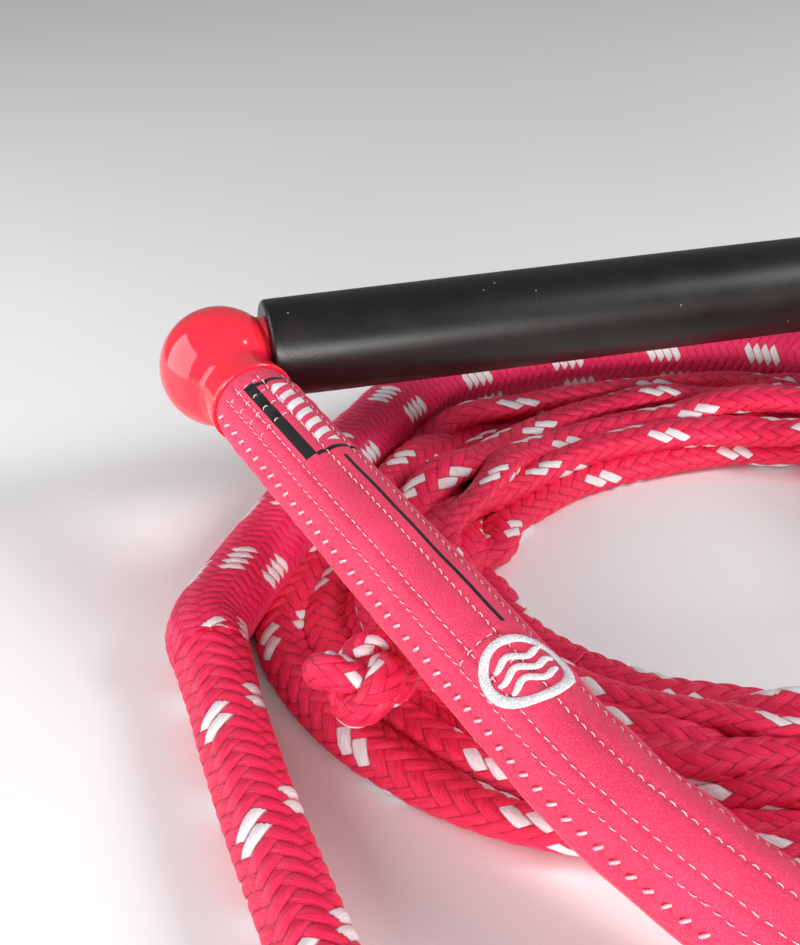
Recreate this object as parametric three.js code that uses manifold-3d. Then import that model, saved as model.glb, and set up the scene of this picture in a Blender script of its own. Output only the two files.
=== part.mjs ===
// Tow rope handle for wake surfing: a foam-covered bar between two ball-shaped end caps, a bridle of two
// padded legs that meet in a yoke, and the tow rope coiled under the handle.
// Millimetres, +Z up. X runs along the bar, +Y points away from the boat, and the floor is z = 0.
// Every route below is measured from the middle of the bar, at floor level.
import * as THREE from "three";
import { mergeVertices } from "three/addons/utils/BufferGeometryUtils.js";
import Module from "manifold-3d";

const wasm = await Module();
wasm.setup();

// Clearance that touching pieces keep.
const GAP = 0.3;

// Bar.
const GRIP_LENGTH = 254;
const GRIP_R = 16.6;
const GRIP_END_R = 16.3;
const GRIP_EDGE = 2.5;
const TUBE_R = 12.7;
const TUBE_WALL = 1.5;
const BALL_HEIGHT = 60;
const BAR_RISE = 3.2; // the bar's axis lies this far above the balls' centres
const BAR_HEIGHT = BALL_HEIGHT + BAR_RISE;

// End caps: a ball at each end of the bar, with a spigot into the tube and a neck around the leg.
const CAP_R = 19.9;
const CAP_FORWARD = 1.8; // the round part's centre lies this far down the leg
const CAP_STANDOFF = 17; // from the ball's centre to the grip's end
const SPIGOT_LENGTH = 28;
const NECK_WAIST_AT = 15.5;
const NECK_WAIST_R = 13.4;
const NECK_END_AT = 28;
const NECK_LIP_R = 14.4;
const SOCKET_FROM = 17;
const CUFF_R = 11.9;

// Bridle legs.
const LEG_ANGLE = 75.1; // degrees between the bar and a leg
const LEG_TILT = 8; // degrees that the legs slope down from the bar
const LEG_STRAIGHT = 180;
const LEG_R = 14.7;
const COVER_WALL = 1.4;
const BRIDLE_ROPE_R = 4.5;
const FLEX_R = 13.6;
const FLEX_END = 46;
const COVER_END = 348;
const COLLAR_LENGTH = 12;
const COLLAR_TIP_R = 10.5;

// The legs' bow to the yoke, past their straight stretch, for the leg on the left.
const LEG_BOW = [
  [-87, -212, 31],
  [-68, -255, 25.5],
  [-44, -296, 20],
  [-22, -326, 16.5],
  [-5.5, -346, 14],
];

// Yoke, where both legs and the tow rope meet.
const YOKE_R = 14;
const YOKE_MOUTH_R = 12.6;
const YOKE_FROM = 334;
const YOKE_END = 372;
const YOKE_SOCKET = 14;
const ARM_R = 9.6;

// Tow rope.
const LEAD_R = 10;
const GRAB_R = 12;
const MAIN_R = 6.5;
const EYE_ROPE_R = 5;
const EYE_LENGTH = 78;
const EYE_WIDTH = 38;
const WHIPPING_R = 9;
const WHIPPING_LENGTH = 26;

// Coil of the main line: an oval ring, low at the near side and high under the bar.
const RING_X = 8;
const RING_Y = -88;
const RING_INNER = [85, 79];
const RING_OUTER = [128, 124];
const RING_FAR = 146; // the outer reach under the bar
const RING_NEAR_HEIGHT = 17;
const RING_FAR_HEIGHT = 41;
const RING_SECTION = [
  [0, 0],
  [1, 0],
  [1, 0.6],
  [0.9, 0.88],
  [0.76, 1],
  [0.26, 1],
  [0.1, 0.88],
  [0, 0.6],
  [0, 0],
];

// The thick grab section runs straight up the coil's left, under the bar and round to the right.
const GRAB_ROUTE = [
  [-164.6, -97, GRAB_R],
  [-164.7, -90, GRAB_R],
  [-162, -81.5, GRAB_R],
  [-156.5, -72, GRAB_R],
  [-137, -41, GRAB_R],
  [-116.5, -10, GRAB_R],
  [-95, 20, GRAB_R],
  [-74, 46, GRAB_R],
  [-54, 62, GRAB_R],
  [-28, 71, GRAB_R],
  [0, 74, GRAB_R],
  [30, 72, GRAB_R],
  [62, 63, GRAB_R],
  [92, 46, GRAB_R],
  [117, 21, GRAB_R],
  [135, -8, GRAB_R],
  [146, -40, GRAB_R],
  [150, -70, GRAB_R],
  [150.4, -90, GRAB_R],
  [150.4, -103, GRAB_R],
];

// Lead: from the yoke round to the grab section.
const LEAD_ROUTE = [
  [0, -359, YOKE_R],
  [0, -366, YOKE_R],
  [0, -374, YOKE_R],
  [-2, -388, 12],
  [-9, -404, LEAD_R + GAP],
  [-27, -417, LEAD_R + GAP],
  [-52, -420, LEAD_R + GAP],
  [-80, -411, LEAD_R + GAP],
  [-106, -392, LEAD_R + GAP],
  [-129, -362, LEAD_R + GAP],
  [-147, -322, LEAD_R + GAP],
  [-156, -276, LEAD_R + GAP],
  [-160, -230, LEAD_R + GAP],
  [-163, -185, LEAD_R + GAP],
  [-164.3, -150, LEAD_R + GAP],
  [-164.6, -125, LEAD_R + GAP],
  [-164.6, -111, LEAD_R + GAP],
  [-164.6, -98.5, LEAD_R + GAP],
];

// Tail: the last stretch of the main line, from the coil to the boat-end eye.
const TAIL_ROUTE = [
  [97, -197, MAIN_R + GAP],
  [99, -207, MAIN_R + GAP],
  [105, -218, MAIN_R + GAP],
  [115, -228, MAIN_R + GAP],
  [127, -237, MAIN_R + GAP],
  [139, -246, MAIN_R + 1],
  [146, -257, MAIN_R + 1.8],
  [147, -265, WHIPPING_R + GAP],
  [147, -271, WHIPPING_R + GAP],
  [147, -277, WHIPPING_R + GAP],
];
const KNOT_SIZE = [15, 20, 13];
const TIE_WIDTH = 25;
const TIE_THICKNESS = 1.6;
const TIE_SQUEEZE = 4;

const BAR_END = GRIP_LENGTH / 2;
const BALL_X = BAR_END + CAP_STANDOFF;
const CAP_FACE = CAP_STANDOFF - GAP; // the ball is cut flat here, clear of the grip
const SPIGOT_R = TUBE_R - TUBE_WALL - GAP;
const HANDLE_Y = (YOKE_END - CAP_R) / 2; // puts the handle's own middle at y = 0

const COLOURS = {
  cap: { color: 0xff4452, roughness: 0.18, metalness: 0 },
  foam: { color: 0x1c1917, roughness: 0.85, metalness: 0 },
  tube: { color: 0xb9bcc0, roughness: 0.35, metalness: 1 },
  float: { color: 0xd9d6d0, roughness: 0.9, metalness: 0 },
  cover: { color: 0xf25c80, roughness: 0.7, metalness: 0 },
  core: { color: 0xf4f1ea, roughness: 0.8, metalness: 0 },
  rubber: { color: 0x26221f, roughness: 0.6, metalness: 0 },
  rope: { color: 0xf0304e, roughness: 0.6, metalness: 0 },
  grab: { color: 0xe02848, roughness: 0.6, metalness: 0 },
  strap: { color: 0x1b1b1d, roughness: 0.8, metalness: 0 },
};

const vector = (p) => new THREE.Vector3(...p);
const radians = THREE.MathUtils.degToRad;
const lerp = THREE.MathUtils.lerp;

// ---- solids ----

// A closed geometry as a solid, turned right side out.
function solid(geometry) {
  const bare = geometry.clone();
  bare.deleteAttribute("normal");
  bare.deleteAttribute("uv");
  const merged = mergeVertices(bare, 1e-4);
  const triVerts = new Uint32Array(merged.index.array);
  const vertProperties = new Float32Array(merged.attributes.position.array);
  const made = new wasm.Manifold(new wasm.Mesh({ numProp: 3, vertProperties, triVerts }));
  if (made.volume() > 0) return made;
  for (let i = 0; i < triVerts.length; i += 3) {
    [triVerts[i + 1], triVerts[i + 2]] = [triVerts[i + 2], triVerts[i + 1]];
  }
  return new wasm.Manifold(new wasm.Mesh({ numProp: 3, vertProperties, triVerts }));
}

function geometryOf(body) {
  const { vertProperties, triVerts } = body.getMesh();
  const geometry = new THREE.BufferGeometry();
  geometry.setAttribute("position", new THREE.BufferAttribute(vertProperties, 3));
  geometry.setIndex(new THREE.BufferAttribute(triVerts, 1));
  geometry.computeVertexNormals();
  return geometry;
}

// A turned shape: profile of [radius, distance] about the line from start along direction.
function turned(profile, start, direction, segments = 24) {
  const geometry = new THREE.LatheGeometry(profile.map(([r, h]) => new THREE.Vector2(r, h)), segments);
  const turn = new THREE.Quaternion().setFromUnitVectors(new THREE.Vector3(0, 1, 0), direction);
  geometry.applyQuaternion(turn);
  geometry.translate(start.x, start.y, start.z);
  return solid(geometry);
}

const cylinder = (r, from, to, start, direction, segments = 20) =>
  turned([[0, from], [r, from], [r, to], [0, to]], start, direction, segments);

function circle(r, sides) {
  const points = Array.from({ length: sides }, (_, i) => {
    const a = (2 * Math.PI * i) / sides;
    return new THREE.Vector2(r * Math.cos(a), r * Math.sin(a));
  });
  return points;
}

// A tube along a curve, hollow where a bore is given.
function tube(curve, r, { sides = 12, steps = 24, bore = 0, boreSides = 8 } = {}) {
  const section = new THREE.Shape(circle(r, sides));
  if (bore) section.holes.push(new THREE.Path(circle(bore, boreSides)));
  return solid(new THREE.ExtrudeGeometry(section, { steps, extrudePath: curve, curveSegments: 1 }));
}

const smooth = (points) => new THREE.CatmullRomCurve3(points, false, "centripetal");

// The stretch of a curve between two distances along it.
function stretch(curve, from, to, count = 12) {
  const length = curve.getLength();
  const points = Array.from({ length: count + 1 }, (_, i) =>
    curve.getPointAt(Math.min(1, lerp(from, to, i / count) / length)),
  );
  return smooth(points);
}

// ---- layout ----

const UP = new THREE.Vector3(0, 0, 1);
const ALONG = new THREE.Vector3(1, 0, 0);

// Everything about one end of the bar: side is -1 at the left and 1 at the right.
function endLayout(side) {
  const ball = new THREE.Vector3(side * BALL_X, 0, BALL_HEIGHT);
  const barEnd = new THREE.Vector3(side * BALL_X, 0, BAR_HEIGHT);
  const inward = new THREE.Vector3(-side, 0, 0);
  const a = radians(LEG_ANGLE);
  const tilt = radians(LEG_TILT);
  const legDirection = new THREE.Vector3(
    -side * Math.cos(a),
    -Math.sin(a) * Math.cos(tilt),
    -Math.sin(a) * Math.sin(tilt),
  );
  const along = (t) => ball.clone().addScaledVector(legDirection, t);
  const straight = [0, 12, 28, 46, 80, 115, 150, LEG_STRAIGHT].map(along);
  const bow = LEG_BOW.map(([x, y, z]) => new THREE.Vector3(-side * x, y, z));
  const leg = smooth([...straight, ...bow]);
  leg.arcLengthDivisions = 800;
  return { side, ball, barEnd, inward, legDirection, leg };
}

const ends = { left: endLayout(-1), right: endLayout(1) };

// The rope inside the bar bends round the ball's centre into the leg.
function barRopeCurve() {
  const corner = ({ ball, barEnd, inward, legDirection }) => {
    const down = (d) => ball.clone().addScaledVector(legDirection, d);
    const along = (d) => barEnd.clone().addScaledVector(inward, d);
    const inner = ball.clone().lerp(barEnd, 0.5).addScaledVector(inward, 2.2).addScaledVector(legDirection, 2.2);
    return [down(NECK_END_AT), down(18), down(10), inner, along(10), along(18), along(40)];
  };
  return smooth([...corner(ends.left), ...corner(ends.right).reverse()]);
}

const barRope = barRopeCurve();

// ---- bar pieces ----

function foamGrip() {
  const bore = TUBE_R + GAP;
  const half = BAR_END;
  const belly = [0.75, 0.45, 0].map((s) => [lerp(GRIP_R, GRIP_END_R, s * s), s * half]);
  const outer = [
    [GRIP_END_R - GRIP_EDGE, half],
    [GRIP_END_R - 0.7, half - 0.8],
    [GRIP_END_R, half - GRIP_EDGE],
    ...belly,
  ];
  const mirrored = outer.slice(0, -1).map(([r, h]) => [r, -h]).reverse();
  const profile = [[bore, half], ...outer, ...mirrored, [bore, -half], [bore, half]];
  return turned(profile, new THREE.Vector3(0, 0, BAR_HEIGHT), ALONG);
}

function barTube() {
  const inner = TUBE_R - TUBE_WALL;
  const profile = [[inner, -BAR_END], [TUBE_R, -BAR_END], [TUBE_R, BAR_END], [inner, BAR_END], [inner, -BAR_END]];
  return turned(profile, new THREE.Vector3(0, 0, BAR_HEIGHT), ALONG);
}

function endCap({ ball, barEnd, inward, legDirection }) {
  const rings = 14;
  const middle = ball.clone().addScaledVector(legDirection, CAP_FORWARD);
  const face = CAP_FACE - CAP_FORWARD * legDirection.dot(inward);
  const sphere = Array.from({ length: rings + 1 }, (_, i) => {
    const faceAngle = Math.acos(face / CAP_R);
    const a = lerp(Math.PI, faceAngle, i / rings);
    return [CAP_R * Math.sin(a), CAP_R * Math.cos(a)];
  });
  sphere[0][0] = 0;
  const tip = CAP_FACE + SPIGOT_LENGTH;
  const round = turned([...sphere, [0, face]], middle, inward);
  const spigot = turned([[0, 4], [SPIGOT_R, 4], [SPIGOT_R, tip - 1], [SPIGOT_R - 1, tip], [0, tip]], barEnd, inward);
  const gripSeat = cylinder(GRIP_R + GAP, CAP_FACE, CAP_FACE + NECK_END_AT, barEnd, inward);
  const neck = turned(
    [
      [0, 0],
      [NECK_WAIST_R, 6],
      [NECK_WAIST_R, NECK_WAIST_AT],
      [NECK_WAIST_R + 0.25, NECK_WAIST_AT + 4],
      [NECK_LIP_R - 0.3, NECK_END_AT - 3],
      [NECK_LIP_R, NECK_END_AT - 0.8],
      [NECK_LIP_R - 0.4, NECK_END_AT],
      [0, NECK_END_AT],
    ],
    ball,
    legDirection,
  );
  const passage = tube(barRope, BRIDLE_ROPE_R + 2 * GAP, { sides: 10, steps: 70 });
  const socket = turned(
    [
      [0, SOCKET_FROM],
      [CUFF_R + GAP, SOCKET_FROM],
      [CUFF_R + GAP, NECK_END_AT - 3],
      [CUFF_R + 3 * GAP, NECK_END_AT + 1],
      [0, NECK_END_AT + 1],
    ],
    ball,
    legDirection,
    20,
  );
  return round.add(neck).subtract(gripSeat).add(spigot).subtract(passage).subtract(socket);
}

// The end of a leg's cover, bonded into the neck.
const sleeveCuff = ({ ball, legDirection }) =>
  turned(
    [
      [BRIDLE_ROPE_R + 2 * GAP, SOCKET_FROM + GAP],
      [CUFF_R, SOCKET_FROM + GAP],
      [CUFF_R, NECK_END_AT],
      [BRIDLE_ROPE_R + 2 * GAP, NECK_END_AT],
      [BRIDLE_ROPE_R + 2 * GAP, SOCKET_FROM + GAP],
    ],
    ball,
    legDirection,
    20,
  );

// ---- leg pieces ----

// The short bare stretch of each leg that bends when the bar is lifted.
const sleeveFlex = ({ ball, legDirection }) =>
  turned(
    [
      [0, NECK_END_AT + GAP],
      [CUFF_R, NECK_END_AT + GAP],
      [FLEX_R, NECK_END_AT + 6],
      [FLEX_R, FLEX_END],
      [0, FLEX_END],
    ],
    ball,
    legDirection,
    20,
  );

const sleeveCover = ({ leg }) =>
  tube(stretch(leg, FLEX_END + GAP, COVER_END), LEG_R, {
    sides: 16,
    steps: 20,
    bore: LEG_R - COVER_WALL,
    boreSides: 16,
  });

// A round section drawn as a polygon dips inside its circle, so what it holds is smaller by that share.
const inPolygon = (r, sides) => r * Math.cos(Math.PI / sides);

const sleeveFloat = ({ leg }) =>
  tube(stretch(leg, FLEX_END + GAP, COVER_END), inPolygon(LEG_R - COVER_WALL, 16) - GAP, {
    sides: 16,
    steps: 32,
    bore: BRIDLE_ROPE_R + 3 * GAP,
    boreSides: 10,
  });

const bridleRope = ({ leg }) =>
  tube(stretch(leg, FLEX_END + GAP, leg.getLength() - GAP), BRIDLE_ROPE_R, { sides: 8, steps: 36 });

function collarFrame(leg, at) {
  const u = at / leg.getLength();
  return { start: leg.getPointAt(u), direction: leg.getTangentAt(u) };
}

function sleeveEnd({ leg }) {
  const { start, direction } = collarFrame(leg, COVER_END + 2 * GAP);
  const bore = BRIDLE_ROPE_R + 2;
  const profile = [
    [bore, 0],
    [LEG_R - 0.6, 0],
    [LEG_R, 2],
    [LEG_R, 4],
    [COLLAR_TIP_R, COLLAR_LENGTH],
    [bore, COLLAR_LENGTH],
    [bore, 0],
  ];
  return turned(profile, start, direction, 20);
}

function yoke() {
  const start = new THREE.Vector3(0, 0, YOKE_R);
  const toBoat = new THREE.Vector3(0, -1, 0);
  const trunk = turned(
    [
      [0, YOKE_FROM],
      [YOKE_R - 4, YOKE_FROM],
      [YOKE_R, YOKE_FROM + 7],
      [YOKE_R, YOKE_END - 12],
      [YOKE_MOUTH_R, YOKE_END],
      [0, YOKE_END],
    ],
    start,
    toBoat,
  );
  const lead = cylinder(LEAD_R + GAP, YOKE_END - YOKE_SOCKET, YOKE_END + 1, start, toBoat);
  return Object.values(ends).reduce((body, { leg }) => {
    const from = COVER_END + COLLAR_LENGTH + 4 * GAP;
    return body.add(tube(stretch(leg, from, leg.getLength(), 6), ARM_R, { sides: 16, steps: 6 }));
  }, trunk)
    .subtract(boreFor(ends.left.leg))
    .subtract(boreFor(ends.right.leg))
    .subtract(lead);
}

const boreFor = (leg) =>
  tube(stretch(leg, COVER_END, leg.getLength()), BRIDLE_ROPE_R + 3 * GAP, { sides: 10, steps: 12 });

// ---- tow rope pieces ----

const leadRope = () => tube(smooth(LEAD_ROUTE.map(vector)), LEAD_R, { sides: 10, steps: 28 });

const grabRope = () => tube(smooth(GRAB_ROUTE.map(vector)), GRAB_R, { sides: 12, steps: 34 });

// How high the coil is piled at a given distance towards or away from the boat.
const ringHeight = (y) =>
  lerp(RING_NEAR_HEIGHT, RING_FAR_HEIGHT, (y - RING_Y + RING_OUTER[1]) / (RING_FAR + RING_OUTER[1]));

function ropeCoil() {
  const profile = RING_SECTION.map(([r, h]) => new THREE.Vector2(1 + r, h));
  const ring = new THREE.LatheGeometry(profile, 48);
  const position = ring.attributes.position;
  for (let i = 0; i < position.count; i++) {
    const [x, h, y] = [position.getX(i), position.getY(i), position.getZ(i)];
    const r = Math.hypot(x, y);
    const across = RING_X + (x / r) * lerp(RING_INNER[0], RING_OUTER[0], r - 1);
    const reach = y > 0 ? RING_FAR : RING_OUTER[1];
    const depth = RING_Y + (y / r) * lerp(RING_INNER[1], reach, r - 1);
    position.setXYZ(i, across, depth, h * ringHeight(depth));
  }
  const pile = solid(ring);
  const around = tieLoop(TIE_THICKNESS + GAP, GAP, TIE_WIDTH + 2 * GAP, 40);
  const within = tieLoop(-GAP, 0, TIE_WIDTH + 4 * GAP, 0);
  return pile.subtract(around.subtract(within));
}

// A rounded box across the coil's right-hand band, grown by the given amount.
function tieLoop(grow, below, width, over) {
  const inset = TIE_SQUEEZE;
  const low = grow > 0 && over === 0 ? 0 : TIE_THICKNESS - grow;
  const left = RING_X + RING_INNER[0] + inset - grow - over;
  const right = RING_X + RING_OUTER[0] - inset + grow + over;
  const bottom = over ? -over : low;
  const top = ringHeight(RING_Y) - inset + grow + over;
  const r = over ? 1 : 7;
  const shape = new THREE.Shape();
  shape.moveTo(left + r, bottom);
  shape.lineTo(right - r, bottom);
  shape.quadraticCurveTo(right, bottom, right, bottom + r);
  shape.lineTo(right, top - r);
  shape.quadraticCurveTo(right, top, right - r, top);
  shape.lineTo(left + r, top);
  shape.quadraticCurveTo(left, top, left, top - r);
  shape.lineTo(left, bottom + r);
  shape.quadraticCurveTo(left, bottom, left + r, bottom);
  const block = new THREE.ExtrudeGeometry(shape, { depth: width, bevelEnabled: false, curveSegments: 4 });
  block.rotateX(Math.PI / 2);
  block.translate(0, RING_Y + width / 2, 0);
  return solid(block);
}

const coilTie = () =>
  tieLoop(TIE_THICKNESS, 0, TIE_WIDTH, 0).subtract(tieLoop(0, 0, TIE_WIDTH + 2, 0));

function sectionKnot() {
  const geometry = new THREE.SphereGeometry(1, 16, 10);
  geometry.rotateX(Math.PI / 2);
  geometry.scale(...KNOT_SIZE);
  const end = vector(GRAB_ROUTE.at(-1));
  geometry.translate(end.x, end.y - KNOT_SIZE[1] - GAP, KNOT_SIZE[2]);
  return solid(geometry);
}

const mainTail = () => tube(smooth(TAIL_ROUTE.map(vector)), MAIN_R, { sides: 10, steps: 14 });

const tailEnd = vector(TAIL_ROUTE.at(-1));

function towWhipping() {
  const start = new THREE.Vector3(tailEnd.x, tailEnd.y - GAP, tailEnd.z);
  return turned(
    [
      [0, 0],
      [WHIPPING_R - 1.2, 0],
      [WHIPPING_R, 1.5],
      [WHIPPING_R, WHIPPING_LENGTH - 1.5],
      [WHIPPING_R - 1.2, WHIPPING_LENGTH],
      [0, WHIPPING_LENGTH],
    ],
    start,
    new THREE.Vector3(0, -1, 0),
    20,
  );
}

function towEye() {
  const x = tailEnd.x;
  const y = tailEnd.y - WHIPPING_LENGTH - 3 * GAP;
  const low = EYE_ROPE_R + GAP;
  const wide = EYE_WIDTH / 2 - EYE_ROPE_R;
  const leg = (s) => [
    [x + s * (EYE_ROPE_R + 1), y, tailEnd.z],
    [x + s * (EYE_ROPE_R + 1), y - 3, tailEnd.z],
    [x + s * wide * 0.75, y - EYE_LENGTH * 0.2, (tailEnd.z + low) / 2],
    [x + s * wide, y - EYE_LENGTH * 0.45, low],
    [x + s * wide * 0.8, y - EYE_LENGTH * 0.75, low],
  ];
  const route = [...leg(-1), [x, y - EYE_LENGTH + EYE_ROPE_R, low], ...leg(1).reverse()];
  return tube(smooth(route.map(vector)), EYE_ROPE_R, { sides: 10, steps: 28 });
}

// ---- assembly ----

const bridle = new THREE.Group();
const bar = new THREE.Group();
const towRope = new THREE.Group();
const handle = new THREE.Group();
handle.add(bar, bridle, towRope);
handle.position.y = HANDLE_Y;

function place(group, name, body, look) {
  const mesh = new THREE.Mesh(geometryOf(body), new THREE.MeshStandardMaterial(COLOURS[look]));
  mesh.name = name;
  group.add(mesh);
}

place(bar, "foam_grip", foamGrip(), "foam");
place(bar, "bar_tube", barTube(), "tube");
place(bar, "bar_rope", tube(barRope, BRIDLE_ROPE_R, { sides: 8, steps: 70 }), "core");
for (const [name, end] of Object.entries(ends)) {
  place(bar, `end_cap_${name}`, endCap(end), "cap");
  place(bar, `sleeve_cuff_${name}`, sleeveCuff(end), "cover");
  place(bridle, `sleeve_flex_${name}`, sleeveFlex(end), "cover");
  place(bridle, `sleeve_cover_${name}`, sleeveCover(end), "cover");
  place(bridle, `sleeve_float_${name}`, sleeveFloat(end), "float");
  place(bridle, `bridle_rope_${name}`, bridleRope(end), "core");
  place(bridle, `sleeve_end_${name}`, sleeveEnd(end), "rubber");
}
place(bridle, "yoke", yoke(), "rubber");
place(towRope, "lead_rope", leadRope(), "rope");
place(towRope, "grab_rope", grabRope(), "grab");
place(towRope, "section_knot", sectionKnot(), "rope");
place(towRope, "rope_coil", ropeCoil(), "rope");
place(towRope, "coil_tie", coilTie(), "strap");
place(towRope, "main_tail", mainTail(), "rope");
place(towRope, "tow_whipping", towWhipping(), "rubber");
place(towRope, "tow_eye", towEye(), "rope");

export default handle;
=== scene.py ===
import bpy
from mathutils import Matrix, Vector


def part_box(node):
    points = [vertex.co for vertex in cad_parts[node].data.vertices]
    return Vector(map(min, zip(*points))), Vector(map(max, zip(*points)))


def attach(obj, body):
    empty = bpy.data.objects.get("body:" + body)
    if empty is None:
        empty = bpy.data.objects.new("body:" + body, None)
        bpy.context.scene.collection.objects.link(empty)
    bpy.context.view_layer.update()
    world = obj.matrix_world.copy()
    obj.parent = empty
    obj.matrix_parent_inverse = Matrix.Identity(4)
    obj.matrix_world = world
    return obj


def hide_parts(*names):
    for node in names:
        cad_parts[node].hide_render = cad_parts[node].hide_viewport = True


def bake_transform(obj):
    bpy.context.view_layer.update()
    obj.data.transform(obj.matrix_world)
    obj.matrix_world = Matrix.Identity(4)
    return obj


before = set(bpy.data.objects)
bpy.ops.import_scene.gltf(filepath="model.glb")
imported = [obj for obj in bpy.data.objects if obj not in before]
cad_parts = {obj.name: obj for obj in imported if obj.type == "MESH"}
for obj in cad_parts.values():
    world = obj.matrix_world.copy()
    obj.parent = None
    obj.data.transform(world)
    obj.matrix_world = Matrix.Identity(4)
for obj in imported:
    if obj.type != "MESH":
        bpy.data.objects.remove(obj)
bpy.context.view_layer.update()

import logging
import math
from dataclasses import dataclass, field
from enum import Enum
from typing import Sequence

import bmesh
import bpy
import numpy as np
from mathutils import Matrix, Vector

LOG = logging.getLogger("tow_handle")
MM = 0.001
Array = np.ndarray


# ---------------------------------------------------------------------------
# Small helpers: numbers, colours, nodes
# ---------------------------------------------------------------------------


def linear(hex_colour: str) -> tuple[float, float, float, float]:
    """Turn an sRGB hex colour into a linear RGBA colour.

    Args:
        hex_colour: six hex digits, with or without a leading #.

    Returns:
        The linear red, green, blue and an alpha of 1.
    """
    digits = hex_colour.lstrip("#")
    channels = [int(digits[i : i + 2], 16) / 255 for i in (0, 2, 4)]
    curved = [c / 12.92 if c <= 0.04045 else ((c + 0.055) / 1.055) ** 2.4 for c in channels]
    return (curved[0], curved[1], curved[2], 1.0)


def smoothstep(low: float, high: float, value: Array) -> Array:
    """Rise smoothly from 0 at low to 1 at high."""
    t = np.clip((value - low) / (high - low), 0.0, 1.0)
    return t * t * (3 - 2 * t)


@dataclass
class Finish:
    """A material under construction: its node tree and its Principled shader."""

    name: str
    material: bpy.types.Material = field(init=False)

    def __post_init__(self) -> None:
        """Make the material, its shader and its output."""
        self.material = bpy.data.materials.new(self.name)
        self.material.use_nodes = True
        self.tree = self.material.node_tree
        self.tree.nodes.clear()
        self.output = self.tree.nodes.new("ShaderNodeOutputMaterial")
        self.shader = self.add("ShaderNodeBsdfPrincipled")
        self.tree.links.new(self.shader.outputs[0], self.output.inputs[0])

    def add(self, kind: str, settings: dict | None = None, inputs: dict | None = None) -> bpy.types.Node:
        """Add one node with its settings, values and links.

        Args:
            kind: the node's type name.
            settings: attributes to set on the node.
            inputs: input name or number to a value, or to an output socket to link from.

        Returns:
            The node.
        """
        node = self.tree.nodes.new(kind)
        for key, value in (settings or {}).items():
            setattr(node, key, value)
        for key, value in (inputs or {}).items():
            self.feed(node, key, value)
        return node

    def feed(self, node: bpy.types.Node, key: str | int, value: object) -> None:
        """Set or link one input of a node.

        Args:
            node: the node.
            key: the input's name or number.
            value: a number, a colour or another node's output.
        """
        if isinstance(value, bpy.types.NodeSocket):
            self.tree.links.new(value, node.inputs[key])
        else:
            node.inputs[key].default_value = value

    def math(self, operation: str, *values: object) -> bpy.types.NodeSocket:
        """Add a Math node and give its result."""
        return self.add("ShaderNodeMath", {"operation": operation}, dict(enumerate(values))).outputs[0]

    def mix(self, factor: object, first: object, second: object, blend: str = "MIX") -> bpy.types.NodeSocket:
        """Add a colour Mix node and give its result.

        Args:
            factor: 0 for the first colour, 1 for the second.
            first: a colour or an output.
            second: a colour or an output.
            blend: how the second goes over the first.

        Returns:
            The mixed colour.
        """
        node = self.add("ShaderNodeMix", {"data_type": "RGBA", "blend_type": blend})
        self.feed(node, 0, factor)
        self.feed(node, 6, first)
        self.feed(node, 7, second)
        return node.outputs[2]

    def noise(self, vector: object, scale: float, detail: float = 2.0, rough: float = 0.5) -> bpy.types.NodeSocket:
        """Add a Noise texture and give its value."""
        inputs = {"Vector": vector, "Scale": scale, "Detail": detail, "Roughness": rough}
        return self.add("ShaderNodeTexNoise", {}, inputs).outputs[0]

    def spread(
        self, value: object, low: float, high: float, to: tuple[float, float] = (0.0, 1.0)
    ) -> bpy.types.NodeSocket:
        """Map a value's range onto another, held at both ends."""
        inputs = {0: value, 1: low, 2: high, 3: to[0], 4: to[1]}
        return self.add("ShaderNodeMapRange", {"clamp": True}, inputs).outputs[0]

    def bump(
        self, height: object, distance: float, strength: float = 1.0, normal: object = None
    ) -> bpy.types.NodeSocket:
        """Add a Bump node and give its normal.

        Args:
            height: the height, from 0 to 1.
            distance: the full height in metres.
            strength: how much of it shows.
            normal: a bump that this one goes on top of.

        Returns:
            The normal.
        """
        inputs = {"Height": height, "Distance": distance, "Strength": strength}
        if normal is not None:
            inputs["Normal"] = normal
        return self.add("ShaderNodeBump", {}, inputs).outputs[0]

    def place(self) -> bpy.types.NodeSocket:
        """The piece's own coordinates, in metres."""
        return self.add("ShaderNodeTexCoord").outputs["Object"]

    def surface_uv(self) -> tuple[bpy.types.NodeSocket, bpy.types.NodeSocket]:
        """The two UV coordinates of the surface."""
        uv = self.add("ShaderNodeUVMap", {"uv_map": "surface"}).outputs[0]
        parts = self.add("ShaderNodeSeparateXYZ", {}, {0: uv})
        return parts.outputs[0], parts.outputs[1]

    def vector(self, x: object, y: object, z: object) -> bpy.types.NodeSocket:
        """Join three numbers into a vector."""
        return self.add("ShaderNodeCombineXYZ", {}, {0: x, 1: y, 2: z}).outputs[0]

    def finish_with(self, **sockets: object) -> bpy.types.Material:
        """Feed the shader's sockets, named with underscores for spaces, and give the material."""
        for key, value in sockets.items():
            self.feed(self.shader, key.replace("_", " "), value)
        return self.material


# ---------------------------------------------------------------------------
# Curves and skins
# ---------------------------------------------------------------------------


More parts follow.
